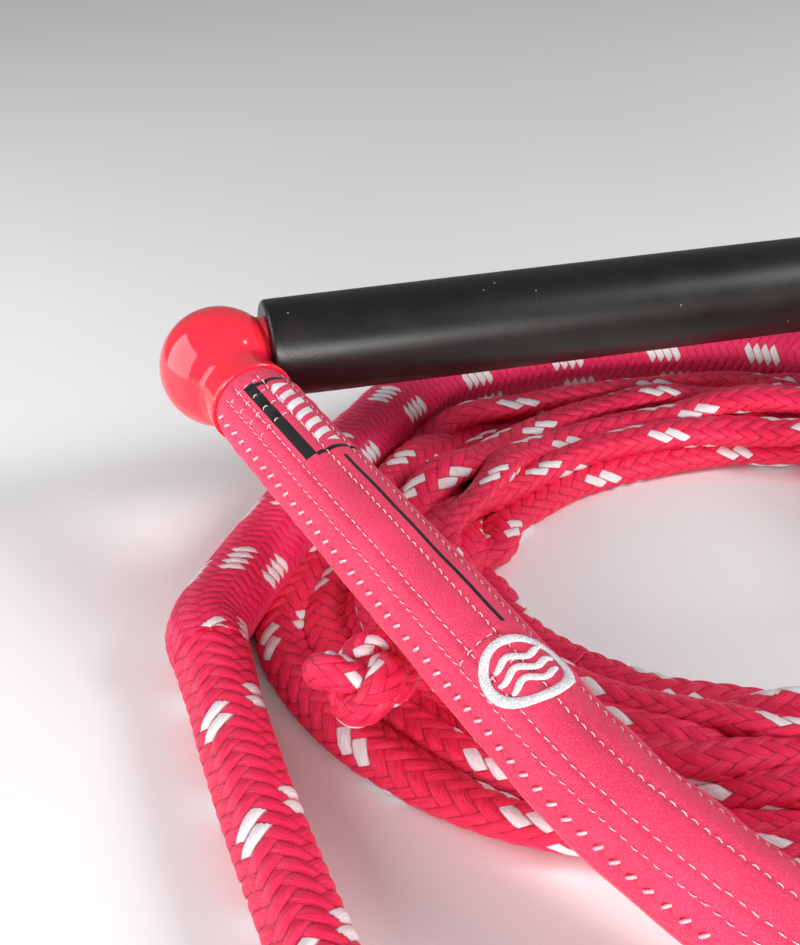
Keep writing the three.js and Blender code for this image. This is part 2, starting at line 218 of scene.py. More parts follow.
def smooth_route(points: Sequence[Sequence[float]], spacing: float) -> Array:
    """Run a centripetal Catmull-Rom curve through points and space it evenly.

    Args:
        points: the route's points.
        spacing: the distance between the points given back.

    Returns:
        Points along the curve, as an (n, 3) array.
    """
    p = np.asarray(points, float)
    p = np.vstack([2 * p[0] - p[1], p, 2 * p[-1] - p[-2]])
    out = []
    for p0, p1, p2, p3 in zip(p[:-3], p[1:-2], p[2:-1], p[3:]):
        t0 = 0.0
        t1 = t0 + max(1e-9, np.linalg.norm(p1 - p0)) ** 0.5
        t2 = t1 + max(1e-9, np.linalg.norm(p2 - p1)) ** 0.5
        t3 = t2 + max(1e-9, np.linalg.norm(p3 - p2)) ** 0.5
        t = np.linspace(t1, t2, 24, endpoint=False)[:, None]
        a1 = (t1 - t) / (t1 - t0) * p0 + (t - t0) / (t1 - t0) * p1
        a2 = (t2 - t) / (t2 - t1) * p1 + (t - t1) / (t2 - t1) * p2
        a3 = (t3 - t) / (t3 - t2) * p2 + (t - t2) / (t3 - t2) * p3
        b1 = (t2 - t) / (t2 - t0) * a1 + (t - t0) / (t2 - t0) * a2
        b2 = (t3 - t) / (t3 - t1) * a2 + (t - t1) / (t3 - t1) * a3
        out.append((t2 - t) / (t2 - t1) * b1 + (t - t1) / (t2 - t1) * b2)
    out.append(p[-2][None])
    return even(np.vstack(out), spacing)


def lengths_along(points: Array) -> Array:
    """The distance along a line of points to each of them."""
    steps = np.linalg.norm(np.diff(points, axis=0), axis=1)
    return np.concatenate([[0.0], np.cumsum(steps)])


def even(points: Array, spacing: float) -> Array:
    """Space a line of points evenly.

    Args:
        points: the line, one point in each row.
        spacing: the distance between new points.

    Returns:
        The evenly spaced points.
    """
    s = lengths_along(points)
    count = max(2, int(round(s[-1] / spacing)) + 1)
    at = np.linspace(0, s[-1], count)
    return np.stack([np.interp(at, s, points[:, k]) for k in range(3)], axis=1)


def unit(v: Array) -> Array:
    """Scale vectors to length 1."""
    return v / np.maximum(np.linalg.norm(v, axis=-1, keepdims=True), 1e-12)


def tangents(points: Array) -> Array:
    """The direction of a line of points at each of them."""
    return unit(np.gradient(points, axis=0))


def across(direction: Array, towards: Array) -> Array:
    """The part of towards that is square to direction, as a unit vector."""
    return unit(towards - np.sum(towards * direction, axis=-1, keepdims=True) * direction)


def enclosed(vertices: Array, quads: Array) -> float:
    """Six times the volume that quads enclose about their own middle, below 0 where they face inwards."""
    p = vertices - vertices[quads].mean((0, 1))
    a, b, c, d = (p[quads[:, k]] for k in range(4))
    return float(np.sum(np.cross(a, b) * c) + np.sum(np.cross(a, c) * d))


def skin(name: str, rings: Array, uv: tuple[Array, Array] | None = None, closed_ends: bool = True) -> bpy.types.Object:
    """Cover a line of rings with one closed surface.

    Args:
        name: the piece's name.
        rings: points as (rings, points round each ring, 3).
        uv: how far round each point is, one more than there are points, and how far along each ring is.
        closed_ends: whether the two ends get a fan of triangles.

    Returns:
        The new piece, shaded smooth, with its faces outwards.
    """
    n, m = rings.shape[:2]
    i, j = np.meshgrid(np.arange(n - 1), np.arange(m), indexing="ij")
    k = (j + 1) % m
    quads = np.stack([i * m + j, i * m + k, (i + 1) * m + k, (i + 1) * m + j], axis=-1).reshape(-1, 4)
    vertices = rings.reshape(-1, 3)
    caps = []
    if closed_ends:
        vertices = np.vstack([vertices, rings[0].mean(0), rings[-1].mean(0)])
        for q in range(m):
            caps.append([n * m, (q + 1) % m, q])
            caps.append([n * m + 1, (n - 1) * m + q, (n - 1) * m + (q + 1) % m])
    inside_out = enclosed(vertices, quads) < 0
    if inside_out:
        quads = quads[:, ::-1]
        caps = [c[::-1] for c in caps]
    mesh = bpy.data.meshes.new(name)
    mesh.from_pydata(vertices.tolist(), [], quads.tolist() + caps)
    if uv is not None:
        around, length = uv
        layer = mesh.uv_layers.new(name="surface")
        u = np.stack([around[j], around[j + 1], around[j + 1], around[j]], axis=-1).reshape(-1, 4)
        v = np.stack([length[i], length[i], length[i + 1], length[i + 1]], axis=-1).reshape(-1, 4)
        if inside_out:
            u, v = u[:, ::-1], v[:, ::-1]
        corner = np.stack([u, v], axis=-1).reshape(-1, 2)
        rest = np.zeros((3 * len(caps), 2))
        layer.data.foreach_set("uv", np.vstack([corner, rest]).astype(np.float32).ravel())
    mesh.polygons.foreach_set("use_smooth", [True] * len(mesh.polygons))
    mesh.validate()
    mesh.update()
    piece = bpy.data.objects.new(name, mesh)
    bpy.context.scene.collection.objects.link(piece)
    return piece


def dress(piece: bpy.types.Object, body: str | None, material: bpy.types.Material) -> bpy.types.Object:
    """Give a piece its material and the body that it rides on, and report it.

    Args:
        piece: the piece.
        body: the body's name, or None to leave the piece unattached.
        material: the piece's material.

    Returns:
        The piece.
    """
    piece.data.materials.clear()
    piece.data.materials.append(material)
    if body is not None:
        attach(piece, body)
    LOG.info("%s: %d faces, rides on %s", piece.name, len(piece.data.polygons), body or "the bend")
    return piece


def deselect() -> None:
    """Leave edit mode and select nothing."""
    if bpy.context.mode != "OBJECT":
        bpy.ops.object.mode_set(mode="OBJECT")
    bpy.ops.object.select_all(action="DESELECT")


def turned(
    name: str, profile: Sequence[tuple[float, float]], start: Vector, axis: Vector, steps: int = 96
) -> bpy.types.Object:
    """Turn a profile about an axis: a point is extruded along the profile, then spun.

    Args:
        name: the piece's name.
        profile: (radius, distance along the axis) pairs in metres.
        start: where distances are measured from.
        axis: the way along the axis.
        steps: how many steps go round.

    Returns:
        The new piece, with its place in its mesh.
    """
    deselect()
    bpy.ops.mesh.primitive_plane_add(size=MM, location=(0, 0, 0))
    piece = bpy.context.object
    piece.name = piece.data.name = name
    bpy.ops.object.mode_set(mode="EDIT")
    bpy.ops.mesh.select_all(action="SELECT")
    bpy.ops.mesh.merge(type="CENTER")
    bpy.ops.transform.translate(value=(profile[0][0], 0, profile[0][1]))
    for (r0, h0), (r1, h1) in zip(profile, profile[1:]):
        bpy.ops.mesh.extrude_region_move(TRANSFORM_OT_translate={"value": (r1 - r0, 0, h1 - h0)})
    bpy.ops.mesh.select_all(action="SELECT")
    bpy.ops.mesh.spin(steps=steps, angle=2 * math.pi, center=(0, 0, 0), axis=(0, 0, 1))
    bpy.ops.mesh.select_all(action="SELECT")
    bpy.ops.mesh.remove_doubles(threshold=1e-6)
    bpy.ops.mesh.normals_make_consistent(inside=False)
    bpy.ops.object.mode_set(mode="OBJECT")
    turn = Vector((0, 0, 1)).rotation_difference(axis.normalized()).to_matrix().to_4x4()
    piece.data.transform(Matrix.Translation(start) @ turn)
    piece.data.polygons.foreach_set("use_smooth", [True] * len(piece.data.polygons))
    piece.data.update()
    return piece


def arc(centre: tuple[float, float], radius: float, start: float, end: float, count: int) -> list[tuple[float, float]]:
    """Points along an arc in a profile, angles in degrees from the radius direction."""
    angles = np.radians(np.linspace(start, end, count))
    return [(centre[0] + radius * math.cos(a), centre[1] + radius * math.sin(a)) for a in angles]


# ---------------------------------------------------------------------------
# Braids
# ---------------------------------------------------------------------------


class Braid(Enum):
    """The braids that the tow rope is made of: yarns each way, and the lead of one yarn in metres."""

    MAIN = (8, 0.056)
    LEAD = (8, 0.048)
    GRAB = (12, 0.042)
    EYE = (8, 0.036)

    @property
    def yarns(self) -> int:
        """How many yarns run each way round."""
        return self.value[0]

    @property
    def lead(self) -> float:
        """How far along a yarn goes once round."""
        return self.value[1]


def twill(a: Array, b: Array) -> Array:
    """The height of a two-over, two-under braid, from 0 between yarns to 1 on a yarn's crown.

    Args:
        a: the yarn coordinate of the yarns that run one way.
        b: the yarn coordinate of those that run the other way.
    """
    step = np.mod(np.floor(a) + np.floor(b), 4)
    first = step < 2
    side = np.where(first, a, b) % 1.0
    pos = np.where(first, step + b % 1.0, step - 2 + a % 1.0) / 2
    crown = np.sqrt(np.clip(1 - (2 * side - 1) ** 2, 0, 1))
    hump = np.sqrt(np.clip(np.sin(np.pi * pos), 0, 1))
    return 0.35 * crown + 0.65 * crown * hump


@dataclass(frozen=True)
class BraidFinish:
    """Braided polypropylene film yarn: soft gloss along the fibres, painted shade between yarns, white tracer yarns."""

    name: str
    braid: Braid
    colour: str
    bright: str
    shade: str
    tracer: str = "#f4eff0"

    def material(self) -> bpy.types.Material:
        """Build the material on the rope's own UV map: u goes round, v along in leads.

        Returns:
            The material.
        """
        f = Finish(self.name)
        u, v = f.surface_uv()
        n = float(self.braid.yarns)
        a = f.math("MULTIPLY", f.math("ADD", u, v), n)
        b = f.math("MULTIPLY", f.math("SUBTRACT", u, v), n)
        whole_a, whole_b = f.math("FLOOR", a), f.math("FLOOR", b)
        step = f.math("FLOORED_MODULO", f.math("ADD", whole_a, whole_b), 4.0)
        first = f.math("LESS_THAN", step, 2.0)
        part_a, part_b = f.math("FRACT", a), f.math("FRACT", b)

        def choose(one: object, other: object) -> bpy.types.NodeSocket:
            """Take one value where the first family is on top, and the other elsewhere."""
            inputs = {0: first, 2: other, 3: one}
            return f.add("ShaderNodeMix", {"data_type": "FLOAT"}, inputs).outputs[0]

        side = choose(part_a, part_b)
        travel = choose(b, a)
        number = choose(whole_a, f.math("ADD", whole_b, 37.0))
        centred = f.math("SUBTRACT", f.math("MULTIPLY", side, 2.0), 1.0)
        crown = f.math("SUBTRACT", 1.0, f.math("POWER", f.math("ABSOLUTE", centred), 2.6))
        pos_a = f.math("ADD", step, part_b)
        pos_b = f.math("ADD", f.math("SUBTRACT", step, 2.0), part_a)
        pos = f.math("MULTIPLY", choose(pos_a, pos_b), 0.5)
        hump = f.math("POWER", f.math("SINE", f.math("MULTIPLY", pos, math.pi)), 0.6)
        height = f.math("MULTIPLY", crown, f.math("ADD", f.math("MULTIPLY", hump, 0.65), 0.35))
        fibre_place = f.vector(f.math("MULTIPLY", side, 9.0), f.math("MULTIPLY", travel, 0.8), number)
        fibres = f.noise(fibre_place, 1.0, 3.0, 0.65)
        fine = f.noise(f.vector(f.math("MULTIPLY", side, 22.0), f.math("MULTIPLY", travel, 0.9), number), 1.0, 2.0)
        carrier = f.math("FLOORED_MODULO", whole_a, n)
        in_pair = f.math("LESS_THAN", carrier, 4.0 if self.braid is Braid.GRAB else 2.0)
        white = f.math("MULTIPLY", in_pair, first)
        mottle = f.noise(f.place(), 55.0, 2.0)
        strands = f.math("ADD", f.math("MULTIPLY", fibres, 0.45), f.math("MULTIPLY", fine, 0.4))
        tone = f.math("ADD", strands, f.math("MULTIPLY", mottle, 0.15))
        red = f.mix(f.spread(tone, 0.36, 0.64), linear(self.colour), linear(self.bright))
        pale = f.mix(f.spread(fine, 0.3, 0.7), linear("#e3d5d8"), linear(self.tracer))
        yarn = f.mix(white, red, pale)
        # Painted shade: where the braid's relief is low, between the yarns, the colour turns to the dark shade colour.
        gap = f.spread(height, 0.0, 0.4)
        colour = f.mix(gap, linear(self.shade), yarn)
        relief = f.math("ADD", f.math("MULTIPLY", fibres, 0.5), f.math("MULTIPLY", fine, 0.5))
        normal = f.bump(relief, 0.0006, 1.0)
        shaped = f.bump(height, 0.0004, 0.55, normal)
        return f.finish_with(
            Base_Color=colour,
            Normal=shaped,
            Roughness=0.40,
            Specular_IOR_Level=0.32,
            Sheen_Weight=0.03,
            Anisotropic=0.35,
        )


@dataclass
class BraidedRope:
    """A length of braided rope on a route, with its yarns in relief."""

    name: str
    path: Array
    width: Array | float
    height: Array | float
    braid: Braid
    relief: float = 0.0009
    around: int = 32
    flat_normal: Array | None = None
    phase: float = 0.0

    def build(self) -> bpy.types.Object:
        """Sweep the braid's section along the path.

        Returns:
            The rope, with a UV map of how far round and how many leads along.
        """
        n = len(self.path)
        t = tangents(self.path)
        flat = np.broadcast_to(np.array([0, 0, 1.0]), (n, 3)) if self.flat_normal is None else self.flat_normal
        up = across(t, flat)
        side = np.cross(t, up)
        s = lengths_along(self.path)
        v = s / self.braid.lead + self.phase
        u = np.arange(self.around) / self.around
        angle = 2 * np.pi * u[None, :]
        yarns = self.braid.yarns
        a = yarns * (u[None, :] + v[:, None])
        b = yarns * (u[None, :] - v[:, None])
        lift = (twill(a, b) - 0.75) * self.relief
        width = np.broadcast_to(np.asarray(self.width, float), (n,))[:, None]
        height = np.broadcast_to(np.asarray(self.height, float), (n,))[:, None]
        x = np.cos(angle) * (width / 2 + lift)
        y = np.sin(angle) * (height / 2 + lift)
        rings = self.path[:, None, :] + x[..., None] * side[:, None, :] + y[..., None] * up[:, None, :]
        return skin(self.name, rings, (np.arange(self.around + 1) / self.around, v))


# ---------------------------------------------------------------------------
# Layout of the handle, from the frame
# ---------------------------------------------------------------------------

GRIP_LOW, GRIP_HIGH = (Vector(c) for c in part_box("foam_grip"))
BAR_Y = (GRIP_LOW.y + GRIP_HIGH.y) / 2
BAR_Z = (GRIP_LOW.z + GRIP_HIGH.z) / 2
GRIP_HALF = (GRIP_HIGH.x - GRIP_LOW.x) / 2
BALL_Z = BAR_Z - 3.2 * MM
CAP_RADIUS = 19.9 * MM
CAP_FORWARD = 1.8 * MM
CAP_STANDOFF = 17.0 * MM
LEG_ANGLE = math.radians(75.1)
LEG_TILT = math.radians(8)
NECK_END = 28 * MM
COVER_END = 348 * MM


def from_bar(points: Sequence[Sequence[float]]) -> Array:
    """Turn points in millimetres from the bar's middle, at floor level, into the frame's metres."""
    return np.asarray(points, float) * MM + np.array([0, BAR_Y, 0])


@dataclass
class Leg:
    """One padded leg of the bridle, with its path and the surface that its cover follows.

    A place on the cover is given by t, the distance from the ball's centre, and by psi, the angle round
    the leg from its upper side, positive towards the other leg.
    """

    name: str
    sign: float

    mouth_radius: float = 12.6 * MM
    radius: float = 14.9 * MM
    end_radius: float = 12.9 * MM
    cover_from: float = 19 * MM

    def __post_init__(self) -> None:
        """Work out the path and the directions across it."""
        self.ball = Vector((self.sign * (GRIP_HALF + CAP_STANDOFF), BAR_Y, BALL_Z))
        self.away = Vector(
            (
                -self.sign * math.cos(LEG_ANGLE),
                -math.sin(LEG_ANGLE) * math.cos(LEG_TILT),
                -math.sin(LEG_ANGLE) * math.sin(LEG_TILT),
            )
        )
        straight = [np.array(self.ball + self.away * t * MM) for t in (0, 12, 28, 46, 80, 115, 150, 180)]
        bow = from_bar([[-87, -212, 31], [-68, -255, 25.5], [-44, -296, 20], [-22, -326, 16.5], [-5.5, -346, 14]])
        bow[:, 0] *= -self.sign
        self.path = smooth_route([*straight, *bow], 1.0 * MM)
        self.s = lengths_along(self.path)
        self.t_dir = tangents(self.path)
        lifted = np.array([0, -math.sin(LEG_TILT), math.cos(LEG_TILT)])
        self.up = across(self.t_dir, np.broadcast_to(lifted, self.path.shape))
        self.inner = -self.sign * np.cross(self.up, self.t_dir)

    def along(self, values: Array, t: Array) -> Array:
        """Read vectors kept for the path at distances t."""
        return np.stack([np.interp(t, self.s, values[:, k]) for k in range(3)], axis=-1)

    def round_radius(self, t: Array) -> Array:
        """The cover's radius at t, without its stitching.

        Args:
            t: distance along the leg, in metres.

        Returns:
            The radius, in metres.
        """
        r = self.radius * (0.945 + 0.055 * smoothstep(0.036, 0.16, t))
        r = self.mouth_radius + (r - self.mouth_radius) * smoothstep(0.024, 0.037, t)
        r = np.where(t < 0.024, self.mouth_radius - (0.024 - t) * 0.35, r)
        return r + (self.end_radius - r) * smoothstep(0.27, COVER_END, t)

    def on(self, t: Array, psi: Array, lift: Array | float = 0.0) -> Array:
        """Points on the cover.

        Args:
            t: distances from the ball's centre, in metres.
            psi: angles in degrees.
            lift: height above the stitched surface, in metres.

        Returns:
            The points, with one more axis than t.
        """
        t, psi = np.broadcast_arrays(np.asarray(t, float), np.asarray(psi, float))
        centre = self.along(self.path, t)
        r = (self.round_radius(t) + quilting(t, psi) + lift)[..., None]
        a = np.radians(psi)[..., None]
        return centre + r * (np.cos(a) * self.along(self.up, t) + np.sin(a) * self.along(self.inner, t))


# ---------------------------------------------------------------------------
# The cover's needlework
# ---------------------------------------------------------------------------

ROW_ANGLES = (35.0, -2.0, -37.0, -56.0)
ROW_SPAN = (30.5 * MM, 340 * MM)
STITCH_PITCH = 3.4 * MM
CROSS_ROWS = (35.4 * MM, 41.9 * MM, 49.0 * MM, 56.8 * MM, 174.3 * MM, 185.6 * MM)
CROSS_SPAN = (-56.0, -2.0)
WHIP_ANGLE = -81.0
WHIP_FROM = 33.5 * MM
WHIP_TO = 338 * MM
WHIP_PITCH = 5.2 * MM
SLEEVE_RADIUS = 14.9 * MM
EMBLEM = (189 * MM, -5.0)


def wrapped(psi: Array, centre: float) -> Array:
    """The angle from centre to psi, between -180 and 180 degrees."""
    return (psi - centre + 180) % 360 - 180


def quilting(t: Array, psi: Array) -> Array:
    """How far the stitched cover stands in or out, in metres.

    Args:
        t: distance along the leg, in metres.
        psi: angle round it, in degrees.

    Returns:
        The offset from the plain round cover.
    """
    arc_mm = SLEEVE_RADIUS / MM * math.pi / 180
    t_mm = t / MM
    out = np.zeros_like(t_mm)
    in_rows = smoothstep(ROW_SPAN[0] / MM - 3, ROW_SPAN[0] / MM + 1, t_mm)
    holes = 0.5 + 0.5 * np.cos(2 * np.pi * t / STITCH_PITCH)
    for angle in ROW_ANGLES:
        d = wrapped(psi, angle) * arc_mm
        out -= in_rows * (0.42 + 0.28 * holes) * np.exp(-((d / 0.75) ** 2))
        out -= in_rows * 0.22 * np.exp(-((d / 2.2) ** 2))
    between = smoothstep(CROSS_SPAN[0] - 4, CROSS_SPAN[0] + 1, psi) * (1 - smoothstep(-1, 4, psi))
    for row in CROSS_ROWS:
        d = t_mm - row / MM + 0.02 * (psi + 30)
        needle = 0.5 + 0.5 * np.cos(2 * np.pi * psi * arc_mm / (STITCH_PITCH / MM))
        out -= between * (0.4 + 0.25 * needle) * np.exp(-((d / 0.7) ** 2))
    # Two layers meet at the whipped seam: each stitch pulls a dent into the upper one.
    d = wrapped(psi, WHIP_ANGLE) * arc_mm
    beat = (t - WHIP_FROM) / WHIP_PITCH
    pull = np.exp(-(((beat - np.round(beat)) * WHIP_PITCH / MM / 1.5) ** 2))
    seam = smoothstep(WHIP_FROM / MM - 5, WHIP_FROM / MM, t_mm)
    out += seam * 0.55 * np.exp(-(((d - 1.2) / 2.2) ** 2)) * (1 - 0.75 * pull)
    out -= seam * (0.5 + 0.95 * pull) * np.exp(-(((d + 0.4) / 1.25) ** 2))
    lip = d + 3.6 + 0.45 * np.cos(2 * np.pi * beat)
    out += seam * (0.55 * np.exp(-((lip / 1.1) ** 2)) - 0.75 * np.exp(-(((lip + 2.0) / 0.9) ** 2)))
    # Slack in the cloth: long shallow ripples, deeper near the cap and on the inner side.
    ripple = np.sin(t_mm * 0.19 + np.radians(psi) * 2) * np.sin(t_mm * 0.071 + 1.3 - np.radians(psi))
    out += 0.16 * ripple * smoothstep(30, 60, t_mm)
    tuck = np.sin(t_mm * 0.62 + np.radians(psi) * 3 + 0.6) * np.exp(-(((t_mm - 44) / 16) ** 2))
    out += 0.2 * tuck * smoothstep(30, 36, t_mm)
    inner_side = np.exp(-((wrapped(psi, 70) / 30) ** 2)) * smoothstep(150, 200, t_mm)
    out += 0.35 * inner_side * np.sin(t_mm * 0.21)
    return out * MM * smoothstep(26, 33, t_mm)


class Print(Enum):
    """Printed bars on the cover: from and to along the leg in mm, and from and to round it in degrees."""

    THICK_BAR = (35.6, 80.3, -30.0, -15.0)
    NEAR_END = (35.6, 37.4, -16.0, 76.0)
    FAR_END = (78.5, 80.3, -16.0, 76.0)
    FAR_SIDE = (35.6, 80.3, 73.0, 76.5)
    LONG_LINE = (84.5, 171.0, 10.0, 15.0)


@dataclass(frozen=True)
class CoverCloth:
    """Laminated neoprene cloth: a fine smooth knit, soft sheen, with black and white transfer prints."""

    name: str = "neoprene_cloth_pink"
    colour: str = "#e5345d"
    bright: str = "#f6708c"
    deep: str = "#cf274f"

    def bars(self, f: Finish, u: object, v: object) -> bpy.types.NodeSocket:
        """The black print's mask: u is the angle in turns, v the distance in metres.

        Args:
            f: the material under construction.
            u: the angle in turns.
            v: the distance in metres.

        Returns:
            1 on a bar, 0 elsewhere.
        """
        total: object = 0.0
        for bar in Print:
            t0, t1, p0, p1 = bar.value
            lean = 0.012 if bar in (Print.NEAR_END, Print.FAR_END) else 0.0
            place = f.math("ADD", v, f.math("MULTIPLY", u, lean))
            middle = (t0 + t1) / 2 * MM + lean * 0.06
            in_t = f.math("COMPARE", place, middle, (t1 - t0) / 2 * MM)
            in_p = f.math("COMPARE", u, (p0 + p1) / 720, (p1 - p0) / 720)
            total = f.math("MAXIMUM", total, f.math("MULTIPLY", in_t, in_p))
        return total

    def dashes(self, f: Finish, u: object, v: object) -> bpy.types.NodeSocket:
        """Six plain slanted white bars inside the black outline.

        Args:
            f: the material under construction.
            u: the angle in turns.
            v: the distance in metres.

        Returns:
            1 on a bar, 0 elsewhere.
        """
        slanted = f.math("ADD", f.math("MULTIPLY", v, 1 / (5.9 * MM)), f.math("MULTIPLY", u, 9.0))
        bar = f.math("LESS_THAN", f.math("FRACT", slanted), 0.52)
        in_t = f.math("COMPARE", v, 58 * MM, 17.6 * MM)
        in_p = f.math("COMPARE", u, 12 / 360, 14 / 360)
        return f.math("MULTIPLY", bar, f.math("MULTIPLY", in_t, in_p))

    def material(self) -> bpy.types.Material:
        """Build the material on the cover's UV map.

        Returns:
            The material.
        """
        f = Finish(self.name)
        u, v = f.surface_uv()
        place = f.place()
        # Knit loops of 0.45 mm, drawn coarse enough to show.
        columns = f.math("SINE", f.math("MULTIPLY", u, 2 * math.pi * 200))
        courses = f.math("SINE", f.math("MULTIPLY", v, 2 * math.pi / (0.55 * MM)))
        knit = f.math("MULTIPLY", columns, courses)
        grain = f.noise(place, 2600.0, 2.0, 0.5)
        cloud = f.noise(place, 42.0, 3.0, 0.55)
        cloth = f.mix(f.spread(cloud, 0.3, 0.7), linear(self.deep), linear(self.colour))
        cloth = f.mix(f.spread(grain, 0.45, 1.05), cloth, linear(self.bright))
        cloth = f.mix(self.bars(f, u, v), cloth, linear("#0d0a0c"))
        cloth = f.mix(self.dashes(f, u, v), cloth, linear("#e9e2e6"))
        texture = f.math("ADD", f.math("MULTIPLY", knit, 0.25), f.math("MULTIPLY", grain, 0.75))
        return f.finish_with(
            Base_Color=cloth,
            Roughness=0.66,
            Specular_IOR_Level=0.3,
            Sheen_Weight=0.12,
            Sheen_Roughness=0.4,
            Normal=f.bump(texture, 0.00007, 0.5),
        )


@dataclass(frozen=True)
class Thread:
    """Bonded polyester sewing thread: two plies twisted, a soft shine."""

    name: str = "sewing_thread_white"
    colour: str = "#f0d3da"
    shade: str = "#c08a99"

    def material(self) -> bpy.types.Material:
        """Build the material.

        Returns:
            The material.
        """
        f = Finish(self.name)
        place = f.place()
        plies = f.noise(place, 2600.0, 2.0)
        colour = f.mix(f.spread(plies, 0.3, 0.62), linear(self.shade), linear(self.colour))
        return f.finish_with(
            Base_Color=colour, Roughness=0.55, Sheen_Weight=0.05, Normal=f.bump(plies, 0.0001, 0.6)
        )


@dataclass(frozen=True)
class GlossCap:
    """Injection-moulded urethane ball, polished tool: clear gloss over a saturated coral body."""

    name: str = "gloss_urethane_coral"
    colour: str = "#ff2f3f"

    def material(self) -> bpy.types.Material:
        """Build the material.

        Returns:
            The material.
        """
        f = Finish(self.name)
        place = f.place()
        flow = f.noise(place, 30.0, 3.0)
        haze = f.noise(place, 900.0, 2.0)
        colour = f.mix(f.spread(flow, 0.3, 0.7), linear("#ee2238"), linear("#f62e42"))
        rough = f.spread(haze, 0.3, 0.8, (0.07, 0.13))
        return f.finish_with(
            Base_Color=colour,
            Roughness=rough,
            IOR=1.5,
            Coat_Weight=0.35,
            Coat_Roughness=0.04,
            Subsurface_Weight=0.06,
            Subsurface_Scale=0.003,
            Normal=f.bump(flow, 0.0001, 0.25),
        )


@dataclass(frozen=True)
class GripFoam:
    """Moulded EVA foam grip: closed cells with a matt skin that catches a broad soft light."""

    name: str = "eva_foam_black"

    def material(self) -> bpy.types.Material:
        """Build the material.

        Returns:
            The material.
        """
        f = Finish(self.name)
        place = f.place()
        cells = f.noise(place, 2300.0, 2.0, 0.7)
        pores = f.noise(place, 700.0, 3.0, 0.6)
        scuff = f.noise(place, 60.0, 4.0, 0.6)
        specks = f.add("ShaderNodeTexVoronoi", {"feature": "F1"}, {"Vector": place, "Scale": 190.0}).outputs[0]
        dust = f.math("MULTIPLY", f.math("LESS_THAN", specks, 0.045), f.math("GREATER_THAN", scuff, 0.5))
        colour = f.mix(f.spread(scuff, 0.3, 0.7), linear("#0b0908"), linear("#15110e"))
        colour = f.mix(f.spread(cells, 0.62, 0.9), colour, linear("#2c2622"))
        colour = f.mix(dust, colour, linear("#b5aca6"))
        relief = f.math("ADD", f.math("MULTIPLY", cells, 0.5), f.math("MULTIPLY", pores, 0.5))
        return f.finish_with(
            Base_Color=colour,
            Roughness=f.spread(scuff, 0.3, 0.7, (0.32, 0.40)),
            Specular_IOR_Level=0.5,
            Normal=f.bump(relief, 0.00016, 0.5),
        )


@dataclass(frozen=True)
class SoftRubber:
    """Compression-moulded rubber: dull black with a faint orange-peel skin."""

    name: str = "moulded_rubber_black"

    def material(self) -> bpy.types.Material:
        """Build the material.

        Returns:
            The material.
        """
        f = Finish(self.name)
        place = f.place()
        peel = f.noise(place, 1300.0, 2.0)
        wear = f.noise(place, 90.0, 4.0, 0.6)
        colour = f.mix(f.spread(wear, 0.35, 0.7), linear("#151314"), linear("#2a2627"))
        rough = f.spread(wear, 0.3, 0.7, (0.48, 0.66))
        return f.finish_with(Base_Color=colour, Roughness=rough, Normal=f.bump(peel, 0.0001, 0.4))


@dataclass(frozen=True)
class WovenCore:
    """Twisted filament or foam that the covers hide: pale, matt, with a fine grain."""

    name: str
    dark: str
    light: str
    rough: float
    metal: float = 0.0
    grain: float = 900.0

    def material(self) -> bpy.types.Material:
        """Build the material.

        Returns:
            The material.
        """
        f = Finish(self.name)
        place = f.place()
        grain = f.noise(place, self.grain, 3.0, 0.6)
        colour = f.mix(f.spread(grain, 0.3, 0.7), linear(self.dark), linear(self.light))
        return f.finish_with(
            Base_Color=colour, Roughness=self.rough, Metallic=self.metal, Normal=f.bump(grain, 0.0001, 0.4)
        )


@dataclass(frozen=True)
class Webbing:
    """Woven polyester webbing: ribs across the strap on a dull black."""

    name: str = "webbing_black"

    def material(self) -> bpy.types.Material:
        """Build the material on the strap's UV map.

        Returns:
            The material.
        """
        f = Finish(self.name)
        u, v = f.surface_uv()
        ribs = f.math("SINE", f.math("MULTIPLY", v, 2 * math.pi / (1.3 * MM)))
        warp = f.math("SINE", f.math("MULTIPLY", u, 2 * math.pi * 60))
        weave = f.math("MULTIPLY", ribs, warp)
        fuzz = f.noise(f.place(), 1500.0, 2.0)
        colour = f.mix(f.spread(weave, -1.0, 1.0), linear("#0e0e10"), linear("#2b2b2f"))
        colour = f.mix(f.spread(fuzz, 0.5, 0.8), colour, linear("#3a3a40"))
        return f.finish_with(
            Base_Color=colour, Roughness=0.7, Sheen_Weight=0.2, Normal=f.bump(weave, 0.0003, 0.8)
        )


# ---------------------------------------------------------------------------
# The tow rope: lead, grab section, main line and what is on them
# ---------------------------------------------------------------------------

RING_X = 8.0
RING_Y = -88.0
RING_INNER = (85.0, 79.0)
RING_OUTER = (128.0, 124.0)
RING_FAR = 146.0
LEAD_ROUTE = (
    (0, -359, 14), (0, -366, 14), (0, -374, 14), (-2, -388, 12), (-9, -404, 10.3), (-27, -417, 10.3),
    (-52, -420, 10.3), (-80, -411, 10.3), (-106, -392, 10.3), (-129, -362, 10.3), (-147, -322, 10.3),
    (-156, -276, 10.3), (-160, -230, 10.3), (-163, -185, 10.3), (-164.3, -150, 10.3), (-164.6, -125, 10.3),
    (-164.6, -111, 10.3), (-164.6, -100, 10.8), (-164.5, -92, 11.6),
)  # fmt: skip
GRAB_ROUTE = (
    (-164.6, -101, 11.9), (-164.7, -90, 12), (-162, -81.5, 12), (-156.5, -72, 12), (-137, -41, 12), (-116.5, -10, 12),
    (-95, 20, 12), (-74, 46, 12), (-54, 62, 12), (-28, 71, 12), (0, 74, 12), (30, 72, 12), (62, 63, 12),
    (92, 46, 12), (117, 21, 12), (135, -8, 12), (146, -40, 12), (150, -70, 12), (150.4, -90, 12), (150.4, -103, 12),
)  # fmt: skip
